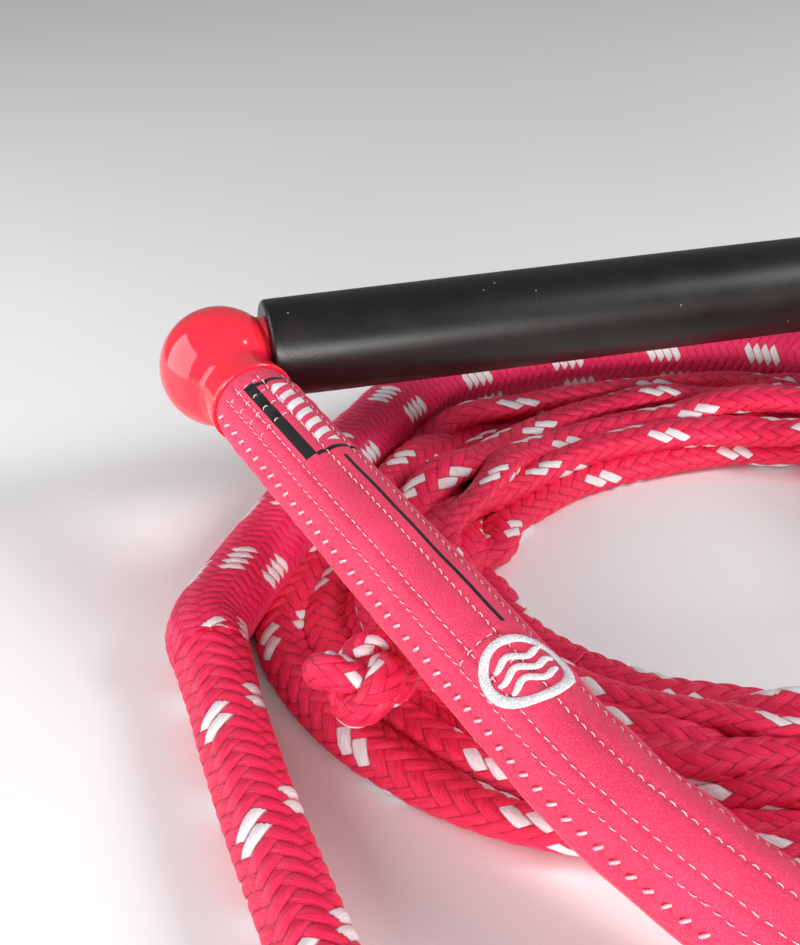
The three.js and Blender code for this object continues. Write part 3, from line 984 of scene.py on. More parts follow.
TAIL_ROUTE = (
    (97, -197, 6.8), (99, -207, 6.8), (105, -218, 6.8), (115, -228, 6.8), (127, -237, 6.8), (139, -246, 7.5),
    (146, -257, 8.3), (147, -265, 9.3), (147, -271, 9.3), (147, -277, 9.3),
)  # fmt: skip
EYE_LENGTH = 78.0
EYE_WIDTH = 38.0
EYE_ROPE = 5.0
WHIPPING_LENGTH = 26.0


def oval(lane: Array | float, turn: Array | float, height: Array | float) -> Array:
    """Points over the coil's band.

    Args:
        lane: 0 at the hole, 1 at the outside.
        turn: the angle in degrees, anticlockwise from the right.
        height: the height above the floor in millimetres.
    """
    a = np.radians(turn)
    reach = np.where(np.sin(a) > 0, RING_FAR, RING_OUTER[1])
    x = RING_X + (RING_INNER[0] + (RING_OUTER[0] - RING_INNER[0]) * lane) * np.cos(a)
    y = RING_Y + (RING_INNER[1] + (reach - RING_INNER[1]) * lane) * np.sin(a)
    return np.stack([x, y, np.broadcast_to(height, np.shape(x))], axis=-1)


@dataclass
class MainLine:
    """The main line, wound by hand into an oval coil and held by a strap.

    Every turn goes clockwise from the knot. A turn's lanes are read at eight places: near, near left,
    left, far left, far, far right, right and near right.
    """

    laid_width: float = 12.0
    laid_height: float = 9.0
    lanes: tuple[tuple[float, ...], ...] = (
        (0.90, 0.96, 0.98, 0.66, 0.62, 0.80, 0.90, 0.90),
        (0.62, 0.66, 0.66, 0.36, 0.36, 0.55, 0.64, 0.64),
        (0.36, 0.38, 0.38, 0.12, 0.12, 0.30, 0.38, 0.38),
        (0.10, 0.12, 0.12, 0.50, 0.50, 0.20, 0.12, 0.12),
        (0.20, 0.24, 0.24, 0.24, 0.24, 0.40, 0.25, 0.25),
        (0.50, 0.52, 0.52, 0.10, 0.08, 0.15, 0.50, 0.55),
        (0.78, 0.80, 0.90, 0.72, 0.78, 0.80, 0.80, 0.80),
        (0.95, 1.45, 1.52, 0.95, 0.62, 0.70, 0.62, 0.60),
        (0.40, 0.36, 0.40, 0.08, 0.24, 0.40, 0.34, 0.36),
        (0.66, 0.70, 0.76, 0.42, 0.52, 0.60, 0.74, 0.76),
    )
    heights: tuple[tuple[float, ...], ...] = (
        (5, 5, 5, 5, 5, 5, 5, 5),
        (5, 5, 5, 5, 5, 5, 5, 5),
        (5, 5, 5, 5, 5, 5, 5, 5),
        (5, 5, 5, 14, 14, 5, 5, 5),
        (13, 13, 14, 14, 14, 13, 13, 13),
        (13, 13, 14, 20, 20, 14, 13, 13),
        (13, 13, 14, 15, 15, 14, 13, 13),
        (12, 6, 8, 18, 28, 22, 20, 15),
        (18, 20, 24, 32, 33, 26, 20, 15),
        (19, 20, 22, 22, 24, 22, 20, 14),
    )
    spread: float = 0.07  # how strongly a turn keeps to its lane
    fall: float = 0.3  # millimetres that the rope sinks in a round
    bending: float = 0.07
    shove: float = 1.5  # how strongly turns that overlap part
    lowest: float = 4.6
    strap_top: float = 20.0
    fastest: float = 2.5

    def wound(self) -> Array:
        """Wind the turns on their lanes, from the knot to the tail, 9 mm apart.

        Returns:
            The points of the coil, in millimetres.
        """
        lanes = np.array(self.lanes).ravel()
        heights = np.array(self.heights, float).ravel()
        places = -90.0 - 45.0 * np.arange(len(lanes))
        turn = np.arange(places[0], places[-2] - 8, -9.0)
        coil = oval(np.interp(-turn, -places, lanes), turn, np.interp(-turn, -places, heights))
        into = [(150.4, -112, 13), (150.4, -128, 12.5), (148, -142, 10), (140, -158, 7.5), (124, -177, 5.5)]
        into += [(100, -194, 5), (66, -207, 5), (38, -211, 5)]
        out = [(125, -122, 12), (121, -143, 10), (112, -166, 7.5), (102, -184, 6.8)]
        return smooth_route([*into, *coil, *out, *TAIL_ROUTE], 9.0)

    def settle(self, line: Array, blocks: Sequence[tuple[Array, float]], steps: int) -> Array:
        """Let the turns find their places under gravity.

        Args:
            line: points along the rope, in millimetres.
            blocks: lines of points that the rope can't enter, each with its radius.
            steps: how many rounds of the relaxation to run.

        Returns:
            The settled points.
        """
        count = len(line)
        rest = np.linalg.norm(np.diff(line, axis=0), axis=1)
        seeds, line = line.copy(), line.copy()
        order = np.arange(count)
        others = np.abs(order[:, None] - order[None]) > 5
        size = np.array([self.laid_width, self.laid_width, self.laid_height])
        held = (order < 3) | (order > count - 11)
        free = ~held
        for _ in range(steps):
            before = line.copy()
            line[:, 2] -= self.fall
            line[:, :2] += self.spread * (seeds - line)[:, :2]
            fourth = line[:-4] - 4 * line[1:-3] + 6 * line[2:-2] - 4 * line[3:-1] + line[4:]
            line[2:-2] -= self.bending * fourth
            scaled = line / size
            apart = scaled[:, None] - scaled[None]
            distance = np.sqrt((apart**2).sum(-1)) + 1e-9
            i, j = np.nonzero(others & (distance < 1))
            push = apart[i, j] / distance[i, j][:, None] * (1 - distance[i, j])[:, None] * size * 0.5
            total = np.zeros_like(line)
            np.add.at(total, i, push)
            touching = np.bincount(i, minlength=count)
            line += self.shove * total / np.maximum(touching, 1)[:, None] ** 0.7
            for route, radius in blocks:
                away = line[:, None] - route[None]
                gaps = np.linalg.norm(away, axis=2)
                nearest = gaps.argmin(1)
                gap = gaps[order, nearest]
                inside = np.maximum(radius - gap, 0)
                line += 0.6 * inside[:, None] * away[order, nearest] / np.maximum(gap, 1e-6)[:, None]
            strap = (np.abs(line[:, 1] - RING_Y) < 16) & (line[:, 0] > 60) & (line[:, 0] < 144)
            line[strap, 0] = np.clip(line[strap, 0], RING_X + RING_INNER[0] + 11, RING_X + RING_OUTER[0] - 11)
            line[strap, 2] = np.minimum(line[strap, 2], self.strap_top)
            line[:, 2] = np.maximum(line[:, 2], self.lowest)
            for first in (0, 1):
                step = line[first + 1 :: 2] - line[first:-1:2][: len(line[first + 1 :: 2])]
                length = np.linalg.norm(step, axis=1)
                change = 0.4 * step * (1 - rest[first::2][: len(length)] / length)[:, None]
                line[first:-1:2][: len(length)] += change
                line[first + 1 :: 2] -= change
            moved = line - before
            far = np.linalg.norm(moved, axis=1, keepdims=True)
            line = before + moved * np.minimum(1, self.fastest / np.maximum(far, 1e-9))
            line[held] = before[held]
        LOG.info("main line settled: %d points, highest %.1f mm", count, line[free, 2].max())
        return line


def grab_route() -> Array:
    """The thick grab section's route round the outside of the coil, in millimetres."""
    return smooth_route(GRAB_ROUTE, 1.0)


def roll(direction: Array, degrees: Array) -> Array:
    """Turn the upward direction about a line's own direction.

    Args:
        direction: the line's direction at each point.
        degrees: how far to turn at each point.

    Returns:
        The turned upward directions.
    """
    up = across(direction, np.broadcast_to(np.array([0, 0, 1.0]), direction.shape))
    side = np.cross(direction, up)
    a = np.radians(degrees)[:, None]
    return np.cos(a) * up + np.sin(a) * side


@dataclass
class TowRope:
    """The tow rope from the yoke to the boat-end eye."""

    legs: tuple[Leg, Leg]
    lead_width: float = 0.021
    grab_width: float = 0.0245
    main_width: float = 0.0156
    main_height: float = 0.0094
    main_round: float = 0.0121
    parts: int = 3

    def __post_init__(self) -> None:
        """Choose the finishes."""
        self.grab_finish = BraidFinish("braid_grab", Braid.GRAB, "#d2003a", "#ff3474", "#b40030").material()
        self.lead_finish = BraidFinish("braid_lead", Braid.LEAD, "#d40036", "#ff3468", "#ac002a").material()
        self.main_finish = BraidFinish("braid_main", Braid.MAIN, "#d80032", "#ff3468", "#b00028").material()
        self.eye_finish = BraidFinish("braid_eye", Braid.EYE, "#d80032", "#ff3468", "#b00028").material()
        self.rubber = SoftRubber("whipping_twine_black").material()
        self.webbing = Webbing().material()

    def build(self) -> None:
        lead_path = from_bar(smooth_route(LEAD_ROUTE, 0.9))
        lead_size = 0.0192 + (self.lead_width - 0.0192) * smoothstep(0.0, 0.2, lengths_along(lead_path))
        to_grab = smoothstep(0.0, 0.035, lengths_along(lead_path)[::-1])
        lead_size = self.grab_width - 0.001 + (lead_size - self.grab_width + 0.001) * to_grab
        lead_size = lead_size * (1 - 0.12 * (1 - smoothstep(0.0, 0.008, lengths_along(lead_path)[::-1])))
        lead = BraidedRope("tow_lead", lead_path, lead_size, lead_size * 0.98, Braid.LEAD, 0.0011, 64).build()
        dress(lead, "bridle", self.lead_finish)
        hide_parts("lead_rope")

        grab_path = from_bar(grab_route())
        ends = np.minimum(lengths_along(grab_path), lengths_along(grab_path)[::-1])
        grab_size = self.grab_width * (0.92 + 0.08 * smoothstep(0.0, 0.010, ends))
        grab = BraidedRope("tow_grab", grab_path, grab_size, grab_size, Braid.GRAB, 0.0007, 96).build()
        dress(grab, "bridle", self.grab_finish)
        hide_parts("grab_rope")

        knot = self.section_knot()
        whipping, eye = self.boat_end()
        mains = self.main_line()
        loop = self.coil_knot()
        strap = self.strap()

        def total(path: Array) -> float:
            """A path's length, rounded as a rope is sold."""
            return round(float(lengths_along(path)[-1]), 2)

        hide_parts("rope_coil")
        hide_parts("main_tail")
        LOG.info("loop and strap: %s, %s", loop.name, strap.name)

    def main_line(self) -> list[tuple[bpy.types.Object, Array]]:
        """Wind, settle and draw the main line in parts, each with its path.

        Returns:
            Each part and its path.
        """
        legs = [((leg.path - np.array([0, BAR_Y, 0])) / MM, 15 + 4.6) for leg in self.legs]
        bar = np.stack([np.linspace(-127, 127, 60), np.zeros(60), np.full(60, BAR_Z / MM)], axis=1)
        lead = smooth_route(LEAD_ROUTE, 4.0)
        blocks = [*legs, (bar, 16.6 + 4.8), (grab_route(), 12 + 5.8), (lead, 10.4 + 5.8)]
        plan = MainLine()
        points = plan.settle(plan.wound(), blocks, 260)
        path = from_bar(smooth_route(points, 1.15))
        s = lengths_along(path)
        direction = tangents(path)
        local = (path - np.array([0, BAR_Y, 0])) / MM
        angle = np.arctan2((local[:, 1] - RING_Y) / RING_FAR, (local[:, 0] - RING_X) / RING_OUTER[0])
        reach = np.hypot((local[:, 1] - RING_Y) / RING_INNER[1], (local[:, 0] - RING_X) / RING_INNER[0])
        lean = -38 * (1 - smoothstep(1.0, 1.22, reach)) * smoothstep(8, 16, local[:, 2])
        wander = 16 * np.sin(s * 23 + 0.7) + 11 * np.sin(s * 9.1) + 9 * np.sin(s * 41 + angle)
        ends = smoothstep(0.0, 0.06, s) * smoothstep(0.0, 0.06, s[::-1])
        normal = roll(direction, (lean + wander) * ends)
        width = self.main_width * (1 + 0.05 * np.sin(s * 31 + 1.0))
        height = self.main_height * (1 - 0.05 * np.sin(s * 31 + 1.0))
        cuts = np.linspace(0, len(path) - 1, self.parts + 1).astype(int)
        mains = []
        for number, (low, high) in enumerate(zip(cuts[:-1], cuts[1:])):
            part = slice(low, high + 1)
            rope = BraidedRope(
                f"tow_main_{number + 1}", path[part], width[part], height[part], Braid.MAIN, 0.0009, 32, normal[part],
                s[low] / Braid.MAIN.lead,
            )  # fmt: skip
            mains.append((dress(rope.build(), "bridle", self.main_finish), path[part]))
        return mains

    def section_knot(self) -> bpy.types.Object:
        """The stopper knot where the grab section ends: three round turns of its core rope.

        Returns:
            The knot.
        """
        low, high = (np.array(c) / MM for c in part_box("section_knot"))
        middle = (low + high) / 2
        t = np.linspace(0, 1, 160)
        a = 2 * np.pi * 3.0 * t
        out = 7.2 * smoothstep(0, 0.08, t) * smoothstep(0, 0.08, 1 - t)
        y = middle[1] + 14.5 - 29 * t
        path = np.stack([middle[0] + out * np.cos(a), y, middle[2] + out * np.sin(a)], axis=1) * MM
        knot = BraidedRope("tow_section_knot", even(path, 0.0008), 0.0104, 0.0104, Braid.EYE, 0.0008, 32).build()
        dress(knot, "bridle", self.eye_finish)
        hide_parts("section_knot")
        return knot

    def coil_knot(self) -> bpy.types.Object:
        """The keeper knot that lies on the coil's left.

        Returns:
            The knot.
        """
        a = np.linspace(0, 2 * np.pi, 240)
        x = np.sin(a) + 2 * np.sin(2 * a)
        y = np.cos(a) - 2 * np.cos(2 * a)
        z = -np.sin(3 * a)
        path = np.stack([-128 + 3.9 * x, -137 + 3.7 * y, 22 + 4.0 * z], axis=1)
        rope = BraidedRope("coil_knot", even(from_bar(path), 0.0008), 0.0112, 0.0100, Braid.EYE, 0.0008, 32)
        return dress(rope.build(), "bridle", self.eye_finish)

    def boat_end(self) -> tuple[bpy.types.Object, bpy.types.Object]:
        """The whipping and the eye that goes over the boat's tow point.

        Returns:
            The whipping and the eye.
        """
        low, high = (Vector(c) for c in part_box("tow_whipping"))
        radius = (high.x - low.x) / 2
        start = Vector(((low.x + high.x) / 2, high.y, (low.z + high.z) / 2))
        pitch = 1.05 * MM
        rounds = int(WHIPPING_LENGTH * MM / pitch)
        profile = [(0.0, 0.0)]
        for k in range(rounds):
            for part in range(5):
                across_twine = math.sin(math.pi * (part + 0.5) / 5)
                inset = 0.9 * MM * (1 - min(1.0, (k + 1) / 2, (rounds - k) / 2))
                profile.append((radius - inset - 0.45 * MM * (1 - across_twine), (k + (part + 0.5) / 5) * pitch))
        profile.append((0.0, rounds * pitch))
        whipping = turned("tow_whipping_twine", profile, start, Vector((0, -1, 0)), 64)
        dress(whipping, "bridle", self.rubber)
        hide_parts("tow_whipping")

        x, y, z = start.x / MM, (low.y - 0.3 * MM) / MM - BAR_Y / MM, start.z / MM
        base, wide = EYE_ROPE + 0.3, EYE_WIDTH / 2 - EYE_ROPE
        half = [
            (EYE_ROPE + 1, 6.0, z), (EYE_ROPE + 1, -3.0, z), (wide * 0.75, -EYE_LENGTH * 0.2, (z + base) / 2),
            (wide, -EYE_LENGTH * 0.45, base), (wide * 0.8, -EYE_LENGTH * 0.75, base),
        ]  # fmt: skip
        left = [(x - a, y + b, c) for a, b, c in half]
        right = [(x + a, y + b, c) for a, b, c in half][::-1]
        route = smooth_route([*left, (x, y - EYE_LENGTH + EYE_ROPE, base), *right], 0.8)
        eye = BraidedRope("tow_eye_loop", from_bar(route), 0.0100, 0.0098, Braid.EYE, 0.0008, 32).build()
        dress(eye, "bridle", self.eye_finish)
        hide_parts("tow_eye")
        return whipping, eye

    def strap(self) -> bpy.types.Object:
        """The hook-and-loop strap round the coil's right-hand band, its end lapped over its start.

        Returns:
            The strap.
        """
        low, high = (np.array(c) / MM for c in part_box("coil_tie"))
        middle = (low + high) / 2
        thick, wide, corner = 1.5, high[1] - low[1], 8.0
        outline = []
        box = ((high[0], high[2]), (low[0], high[2]), (low[0], low[2]), (high[0], low[2]))
        inner = [(x + math.copysign(corner, middle[0] - x), z + math.copysign(corner, middle[2] - z)) for x, z in box]
        for number, (x, z) in enumerate(inner):
            for a in np.radians(np.linspace(90 * number, 90 * number + 90, 9)):
                outline.append((x + (corner - thick / 2) * math.cos(a), z + (corner - thick / 2) * math.sin(a)))
        outline = np.array([*outline, *outline[:14]])
        path = even(np.stack([outline[:, 0], np.full(len(outline), middle[1]), outline[:, 1]], axis=1), 1.5)
        direction = tangents(path)
        out = np.cross(np.array([0, -1.0, 0]), direction)
        s = lengths_along(path)
        lap = smoothstep(s[-1] - 60, s[-1] - 48, s) * (thick + 0.15)
        path = path + out * lap[:, None]
        section = np.linspace(0, 2 * np.pi, 40, endpoint=False)
        flat = np.sign(np.cos(section)) * np.abs(np.cos(section)) ** 0.25 * (wide / 2 - 0.2)
        deep = np.sign(np.sin(section)) * np.abs(np.sin(section)) ** 0.5 * thick / 2
        rings = path[:, None] + flat[None, :, None] * np.array([0, 1.0, 0]) + deep[None, :, None] * out[:, None]
        strap = skin("coil_strap", rings * MM, (np.linspace(0, 1, 41), s * MM))
        dress(strap, "bridle", self.webbing)
        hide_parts("coil_tie")
        return strap


# ---------------------------------------------------------------------------
# The bridle's legs
# ---------------------------------------------------------------------------


@dataclass
class Sleeve:
    """The sewn cover of one leg with its stitching, embroidery and end collar."""

    leg: Leg
    cloth: bpy.types.Material
    thread: bpy.types.Material
    embroidery: bpy.types.Material
    rubber: bpy.types.Material
    around: int = 120
    step: float = 0.5 * MM

    def point(self, t: float) -> tuple[float, float, float]:
        """A point on the leg's centreline."""
        return tuple(self.leg.along(self.leg.path, np.array(t)))

    def hinge(self, piece: bpy.types.Object) -> None:
        """Bake a piece's place into its mesh."""
        self.point(NECK_END)
        self.point(46 * MM)
        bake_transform(piece)

    def build(self) -> None:
        """Make every piece of the leg's cover."""
        self.cover()
        self.topstitches()
        self.whipstitches()
        self.emblem()
        self.collar()

    def cover(self) -> None:
        """The padded cover, with its seams pulled in."""
        leg = self.leg
        t = np.arange(leg.cover_from, COVER_END, self.step)
        psi = np.arange(self.around) * 360 / self.around - 180
        rings = leg.on(t[:, None], psi[None, :])
        turns = np.arange(self.around + 1) / self.around - 0.5
        piece = skin(f"sleeve_{leg.name}", rings, (turns, t))
        dress(piece, None, self.cloth)
        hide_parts(f"sleeve_flex_{leg.name}", f"sleeve_cover_{leg.name}")
        self.hinge(piece)

    def thread_run(self, name: str, t: Array, arc_mm: Array, lift: Array, radius: Array) -> bpy.types.Object:
        """Lay short lengths of thread on the cover.

        Args:
            name: the piece's name.
            t: distances along the leg, as (threads, points).
            arc_mm: angles in degrees, as (threads, points).
            lift: height above the unstitched surface in metres, as (threads, points).
            radius: the thread's radius at each point, in metres.

        Returns:
            One piece that holds every thread.
        """
        leg, sides = self.leg, 6
        centre = leg.along(leg.path, t)
        a = np.radians(arc_mm)[..., None]
        out = np.cos(a) * leg.along(leg.up, t) + np.sin(a) * leg.along(leg.inner, t)
        line = centre + (leg.round_radius(t) + lift)[..., None] * out
        direction = unit(np.gradient(line, axis=1))
        side = unit(np.cross(direction, out))
        up = np.cross(side, direction)
        turn = np.arange(sides) * 2 * np.pi / sides
        rings = line[:, :, None] + np.broadcast_to(radius, t.shape)[:, :, None, None] * (
            np.cos(turn)[:, None] * side[:, :, None] + np.sin(turn)[:, None] * up[:, :, None]
        )
        threads, points = t.shape
        vertices = rings.reshape(-1, 3)
        faces = []
        for q in range(threads):
            base = q * points * sides
            for i in range(points - 1):
                for j in range(sides):
                    k = (j + 1) % sides
                    row, above = base + i * sides, base + (i + 1) * sides
                    faces.append((row + j, row + k, above + k, above + j))
            faces.append(tuple(base + j for j in range(sides))[::-1])
            faces.append(tuple(base + (points - 1) * sides + j for j in range(sides)))
        mesh = bpy.data.meshes.new(name)
        mesh.from_pydata(vertices.tolist(), [], faces)
        mesh.polygons.foreach_set("use_smooth", [True] * len(mesh.polygons))
        mesh.update()
        piece = bpy.data.objects.new(name, mesh)
        bpy.context.scene.collection.objects.link(piece)
        return outwards(piece)

    def topstitches(self) -> None:
        """The lockstitch rows along the leg and the short rows across it."""
        rng = np.random.default_rng(7)
        along, angles = [], []
        for angle in ROW_ANGLES:
            starts = np.arange(ROW_SPAN[0] + 1 * MM, ROW_SPAN[1], STITCH_PITCH)
            starts = starts + rng.normal(0, 0.09 * MM, len(starts))
            share = np.linspace(-0.33, 0.33, 5)
            along.append(starts[:, None] + share * STITCH_PITCH + STITCH_PITCH / 2)
            wobble = rng.normal(0, 0.35, (len(starts), 1)) + rng.normal(0, 0.9, (len(starts), 1)) * share
            angles.append(np.broadcast_to(angle, along[-1].shape) + wobble)
        arc_mm = SLEEVE_RADIUS / MM * math.pi / 180
        for row in CROSS_ROWS:
            middles = np.arange(CROSS_SPAN[0] + 6, CROSS_SPAN[1] - 3, STITCH_PITCH / MM / arc_mm)
            turn = middles[:, None] + np.linspace(-0.33, 0.33, 5) * STITCH_PITCH / MM / arc_mm
            along.append((row / MM - 0.02 * (turn + 30)) * MM)
            angles.append(turn)
        t, psi = np.vstack(along), np.vstack(angles)
        ends = np.array([-0.75, -0.12, 0.05, -0.12, -0.75]) * MM
        radius = np.array([0.11, 0.17, 0.19, 0.17, 0.11]) * MM
        lift = ends[None] + np.full(t.shape, -0.18 * MM)
        name = f"topstitching_{self.leg.name}"
        piece = self.thread_run(name, t, psi, lift, radius[None])
        dress(piece, None, self.thread)
        self.hinge(piece)

    def whipstitches(self) -> None:
        """The heavy slanted stitches that close the cover's long seam."""
        rng = np.random.default_rng(11)
        starts = np.arange(WHIP_FROM, WHIP_TO, WHIP_PITCH)
        share = np.linspace(-1, 1, 9)
        slant = rng.normal(1.0, 0.12, (len(starts), 1))
        t = starts[:, None] + share * slant * 1.7 * MM
        psi = WHIP_ANGLE + 1.5 + share * 6.5 + rng.normal(0, 0.5, (len(starts), 1))
        lift = (0.35 - 1.1 * np.abs(share) ** 3) * MM
        radius = (0.46 - 0.2 * np.abs(share) ** 3) * MM
        piece = self.thread_run(
            f"whipstitching_{self.leg.name}", t, psi, np.broadcast_to(lift, t.shape), radius[None]
        )
        dress(piece, None, self.thread)
        self.hinge(piece)

    def satin(self, name: str, along_mm: Array, arc_mm: Array, width: Array | float, thick: float) -> None:
        """A raised band of satin stitch on the cover.

        Args:
            name: the piece's name.
            along_mm: the band's middle along the leg, in millimetres from the emblem's centre.
            arc_mm: the band's middle round the leg, in millimetres from the emblem's centre.
            width: the band's width in millimetres.
            thick: its height in millimetres.
        """
        leg = self.leg
        turn = np.linspace(0, 2 * np.pi, 28, endpoint=False)
        line = np.stack([along_mm, arc_mm], axis=1)
        direction = unit(np.gradient(line, axis=0))
        side = np.stack([-direction[:, 1], direction[:, 0]], axis=1)
        s = np.concatenate([[0], np.cumsum(np.linalg.norm(np.diff(line, axis=0), axis=1))])
        width = np.broadcast_to(np.asarray(width, float), s.shape)[:, None]
        ragged = 1 + 0.045 * np.sin(s * 2 * np.pi / 0.62)[:, None] * np.sign(np.cos(turn))[None]
        off = np.cos(turn)[None] * width / 2 * ragged
        stitches = 0.1 * np.sin((s[:, None] + off * 0.35) * 2 * np.pi / 0.62)
        high = np.sin(turn)[None] * thick + np.clip(np.sin(turn), 0, 1)[None] * stitches
        t = EMBLEM[0] + (line[:, None, 0] + side[:, None, 0] * off) * MM
        arc_place = line[:, None, 1] + side[:, None, 1] * off
        psi = EMBLEM[1] + np.degrees(arc_place * MM / leg.round_radius(t))
        a = np.radians(psi)[..., None]
        out = np.cos(a) * leg.along(leg.up, t) + np.sin(a) * leg.along(leg.inner, t)
        rings = leg.along(leg.path, t) + (leg.round_radius(t) + (high - 0.12) * MM)[..., None] * out
        piece = skin(name, rings, (np.linspace(0, 1, 29), s * MM))
        dress(piece, "bridle", self.embroidery)

    def emblem(self) -> None:
        """An embroidered ring round three plain waves."""
        a = np.linspace(0, 2 * np.pi * 1.006, 420)
        self.satin(f"emblem_ring_{self.leg.name}", 11.2 * np.cos(a), 11.2 * np.sin(a), 3.0, 0.62)
        for number, offset in enumerate((-4.4, 0.0, 4.4)):
            half = math.sqrt(8.6**2 - offset**2)
            across_ring = np.linspace(-half, half, 130)
            wave = offset + 1.1 * np.sin(across_ring * 2 * np.pi / 9.5)
            taper = 2.1 * np.sqrt(np.clip(1 - (np.abs(across_ring) / (half + 0.2)) ** 6, 0.05, 1))
            self.satin(f"emblem_wave_{self.leg.name}_{number + 1}", wave, across_ring, taper, 0.55)

    def collar(self) -> None:
        """The moulded collar that closes the cover's far end."""
        leg = self.leg
        start = Vector(self.point(COVER_END + 0.2 * MM))
        axis = Vector(tuple(leg.along(leg.t_dir, np.array(COVER_END + 0.006))))
        profile = [(6.4, 0.2), (13.6, 0.0)]
        profile += arc((13.5, 1.2), 1.2, -80, 0, 6)
        profile += [(14.7, 3.2)] + arc((13.4, 3.8), 1.3, 10, 55, 5)
        profile += [(12.6, 7.6), (11.3, 10.6)] + arc((10.0, 11.2), 0.9, 20, 85, 5) + [(6.4, 12.1), (6.4, 0.2)]
        piece = turned(f"collar_{leg.name}", [(r * MM, h * MM) for r, h in profile], start, axis, 72)
        dress(piece, "bridle", self.rubber)
        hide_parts(f"sleeve_end_{leg.name}")


def outwards(piece: bpy.types.Object) -> bpy.types.Object:
    """Turn every face of a closed piece outwards.

    Args:
        piece: the closed piece.

    Returns:
        The same piece.
    """
    shape = bmesh.new()
    shape.from_mesh(piece.data)
    bmesh.ops.recalc_face_normals(shape, faces=shape.faces)
    shape.to_mesh(piece.data)
    shape.free()
    return piece


# ---------------------------------------------------------------------------
# The bar: grip, end caps and what shows between them
# ---------------------------------------------------------------------------


@dataclass
class Bar:
    """The bar that the rider holds, with a ball-shaped cap at each end."""

    legs: tuple[Leg, Leg]
    waist: float = 13.5
    lip: float = 14.3
    spigot: float = 10.9

    def build(self) -> None:
        """Make the grip and both caps."""
        self.gloss = GlossCap().material()
        self.grip()
        for leg in self.legs:
            self.cap(leg)

    def grip(self) -> None:
        """The foam grip, thickest in the middle, with rolled ends."""
        half = GRIP_HALF / MM
        middle, end, lip, edge = 16.65, 16.4, 11.0, 1.8
        reach = half + 0.8  # a thin lip of foam hides the tube's ends
        belly = [(middle - (middle - end) * (h / half) ** 2, h) for h in np.linspace(half - 3, -half + 3, 61)]
        right = arc((end - edge, reach - edge), edge, 90, 12, 9)
        left = arc((end - edge, -reach + edge), edge, -12, -90, 9)
        ends = [(lip, half + 0.2), (lip, reach - 0.2), (lip + 0.3, reach)]
        inside = [(13.0, -half - 0.2), (13.0, half + 0.2), (lip, half + 0.2)]
        profile = [*ends, *right, *belly, *left, *[(r, -h) for r, h in ends[::-1]], *inside]
        piece = turned(
            "grip", [(r * MM, h * MM) for r, h in profile], Vector((0, BAR_Y, BAR_Z)), Vector((1, 0, 0)), 128
        )
        dress(piece, "bar", GripFoam().material())
        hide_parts("foam_grip")

    def cap(self, leg: Leg) -> None:
        """One end cap: a ball that runs through a soft fillet into the leg's neck.

        Args:
            leg: the leg whose neck the cap has.
        """
        ball, forward = CAP_RADIUS / MM, CAP_FORWARD / MM
        leave = math.degrees(math.asin(10.6 / ball))
        sphere = arc((0, forward), ball, -90, leave, 72)
        r0, h0 = sphere[-1]
        slope = (-math.sin(math.radians(leave)), math.cos(math.radians(leave)))
        fillet = []
        for k in np.linspace(0, 1, 15)[1:]:
            a, b, c, d = (1 - k) ** 3, 3 * k * (1 - k) ** 2, 3 * k * k * (1 - k), k**3
            r = a * r0 + b * (r0 + slope[0] * 2.6) + c * self.waist + d * self.waist
            h = a * h0 + b * (h0 + slope[1] * 2.6) + c * 15.6 + d * 17.6
            fillet.append((r, h))
        neck = [(self.waist + (self.lip - self.waist) * ((h - 17.4) / 9.4) ** 1.6, h) for h in np.linspace(18, 26.8, 9)]
        rim = arc((self.lip - 0.7, 27.3), 0.7, 0, 90, 7)
        inside = [(12.9, 27.9), (12.55, 27.5), (12.5, 22.0), (12.4, 18.0), (0.0, 17.6)]
        profile = [(0.0, forward - ball), *sphere[1:], *fillet, *neck, *rim, *inside]
        piece = turned(f"cap_{leg.name}", [(r * MM, h * MM) for r, h in profile], leg.ball, leg.away, 144)
        inward = Vector((-leg.sign, 0, 0))
        root = [(0, 6.0), (self.spigot, 6.0), (self.spigot, 43.2)]
        root += arc((self.spigot - 1, 43.7), 1.0, 0, 90, 5) + [(0, 44.7)]
        start = Vector((leg.ball.x, BAR_Y, BAR_Z))
        spigot = turned("spigot", [(r * MM, h * MM) for r, h in root], start, inward, 72)
        deselect()
        spigot.select_set(True)
        piece.select_set(True)
        bpy.context.view_layer.objects.active = piece
        bpy.ops.object.join()
        dress(piece, "bar", self.gloss)
        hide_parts(f"end_cap_{leg.name}")


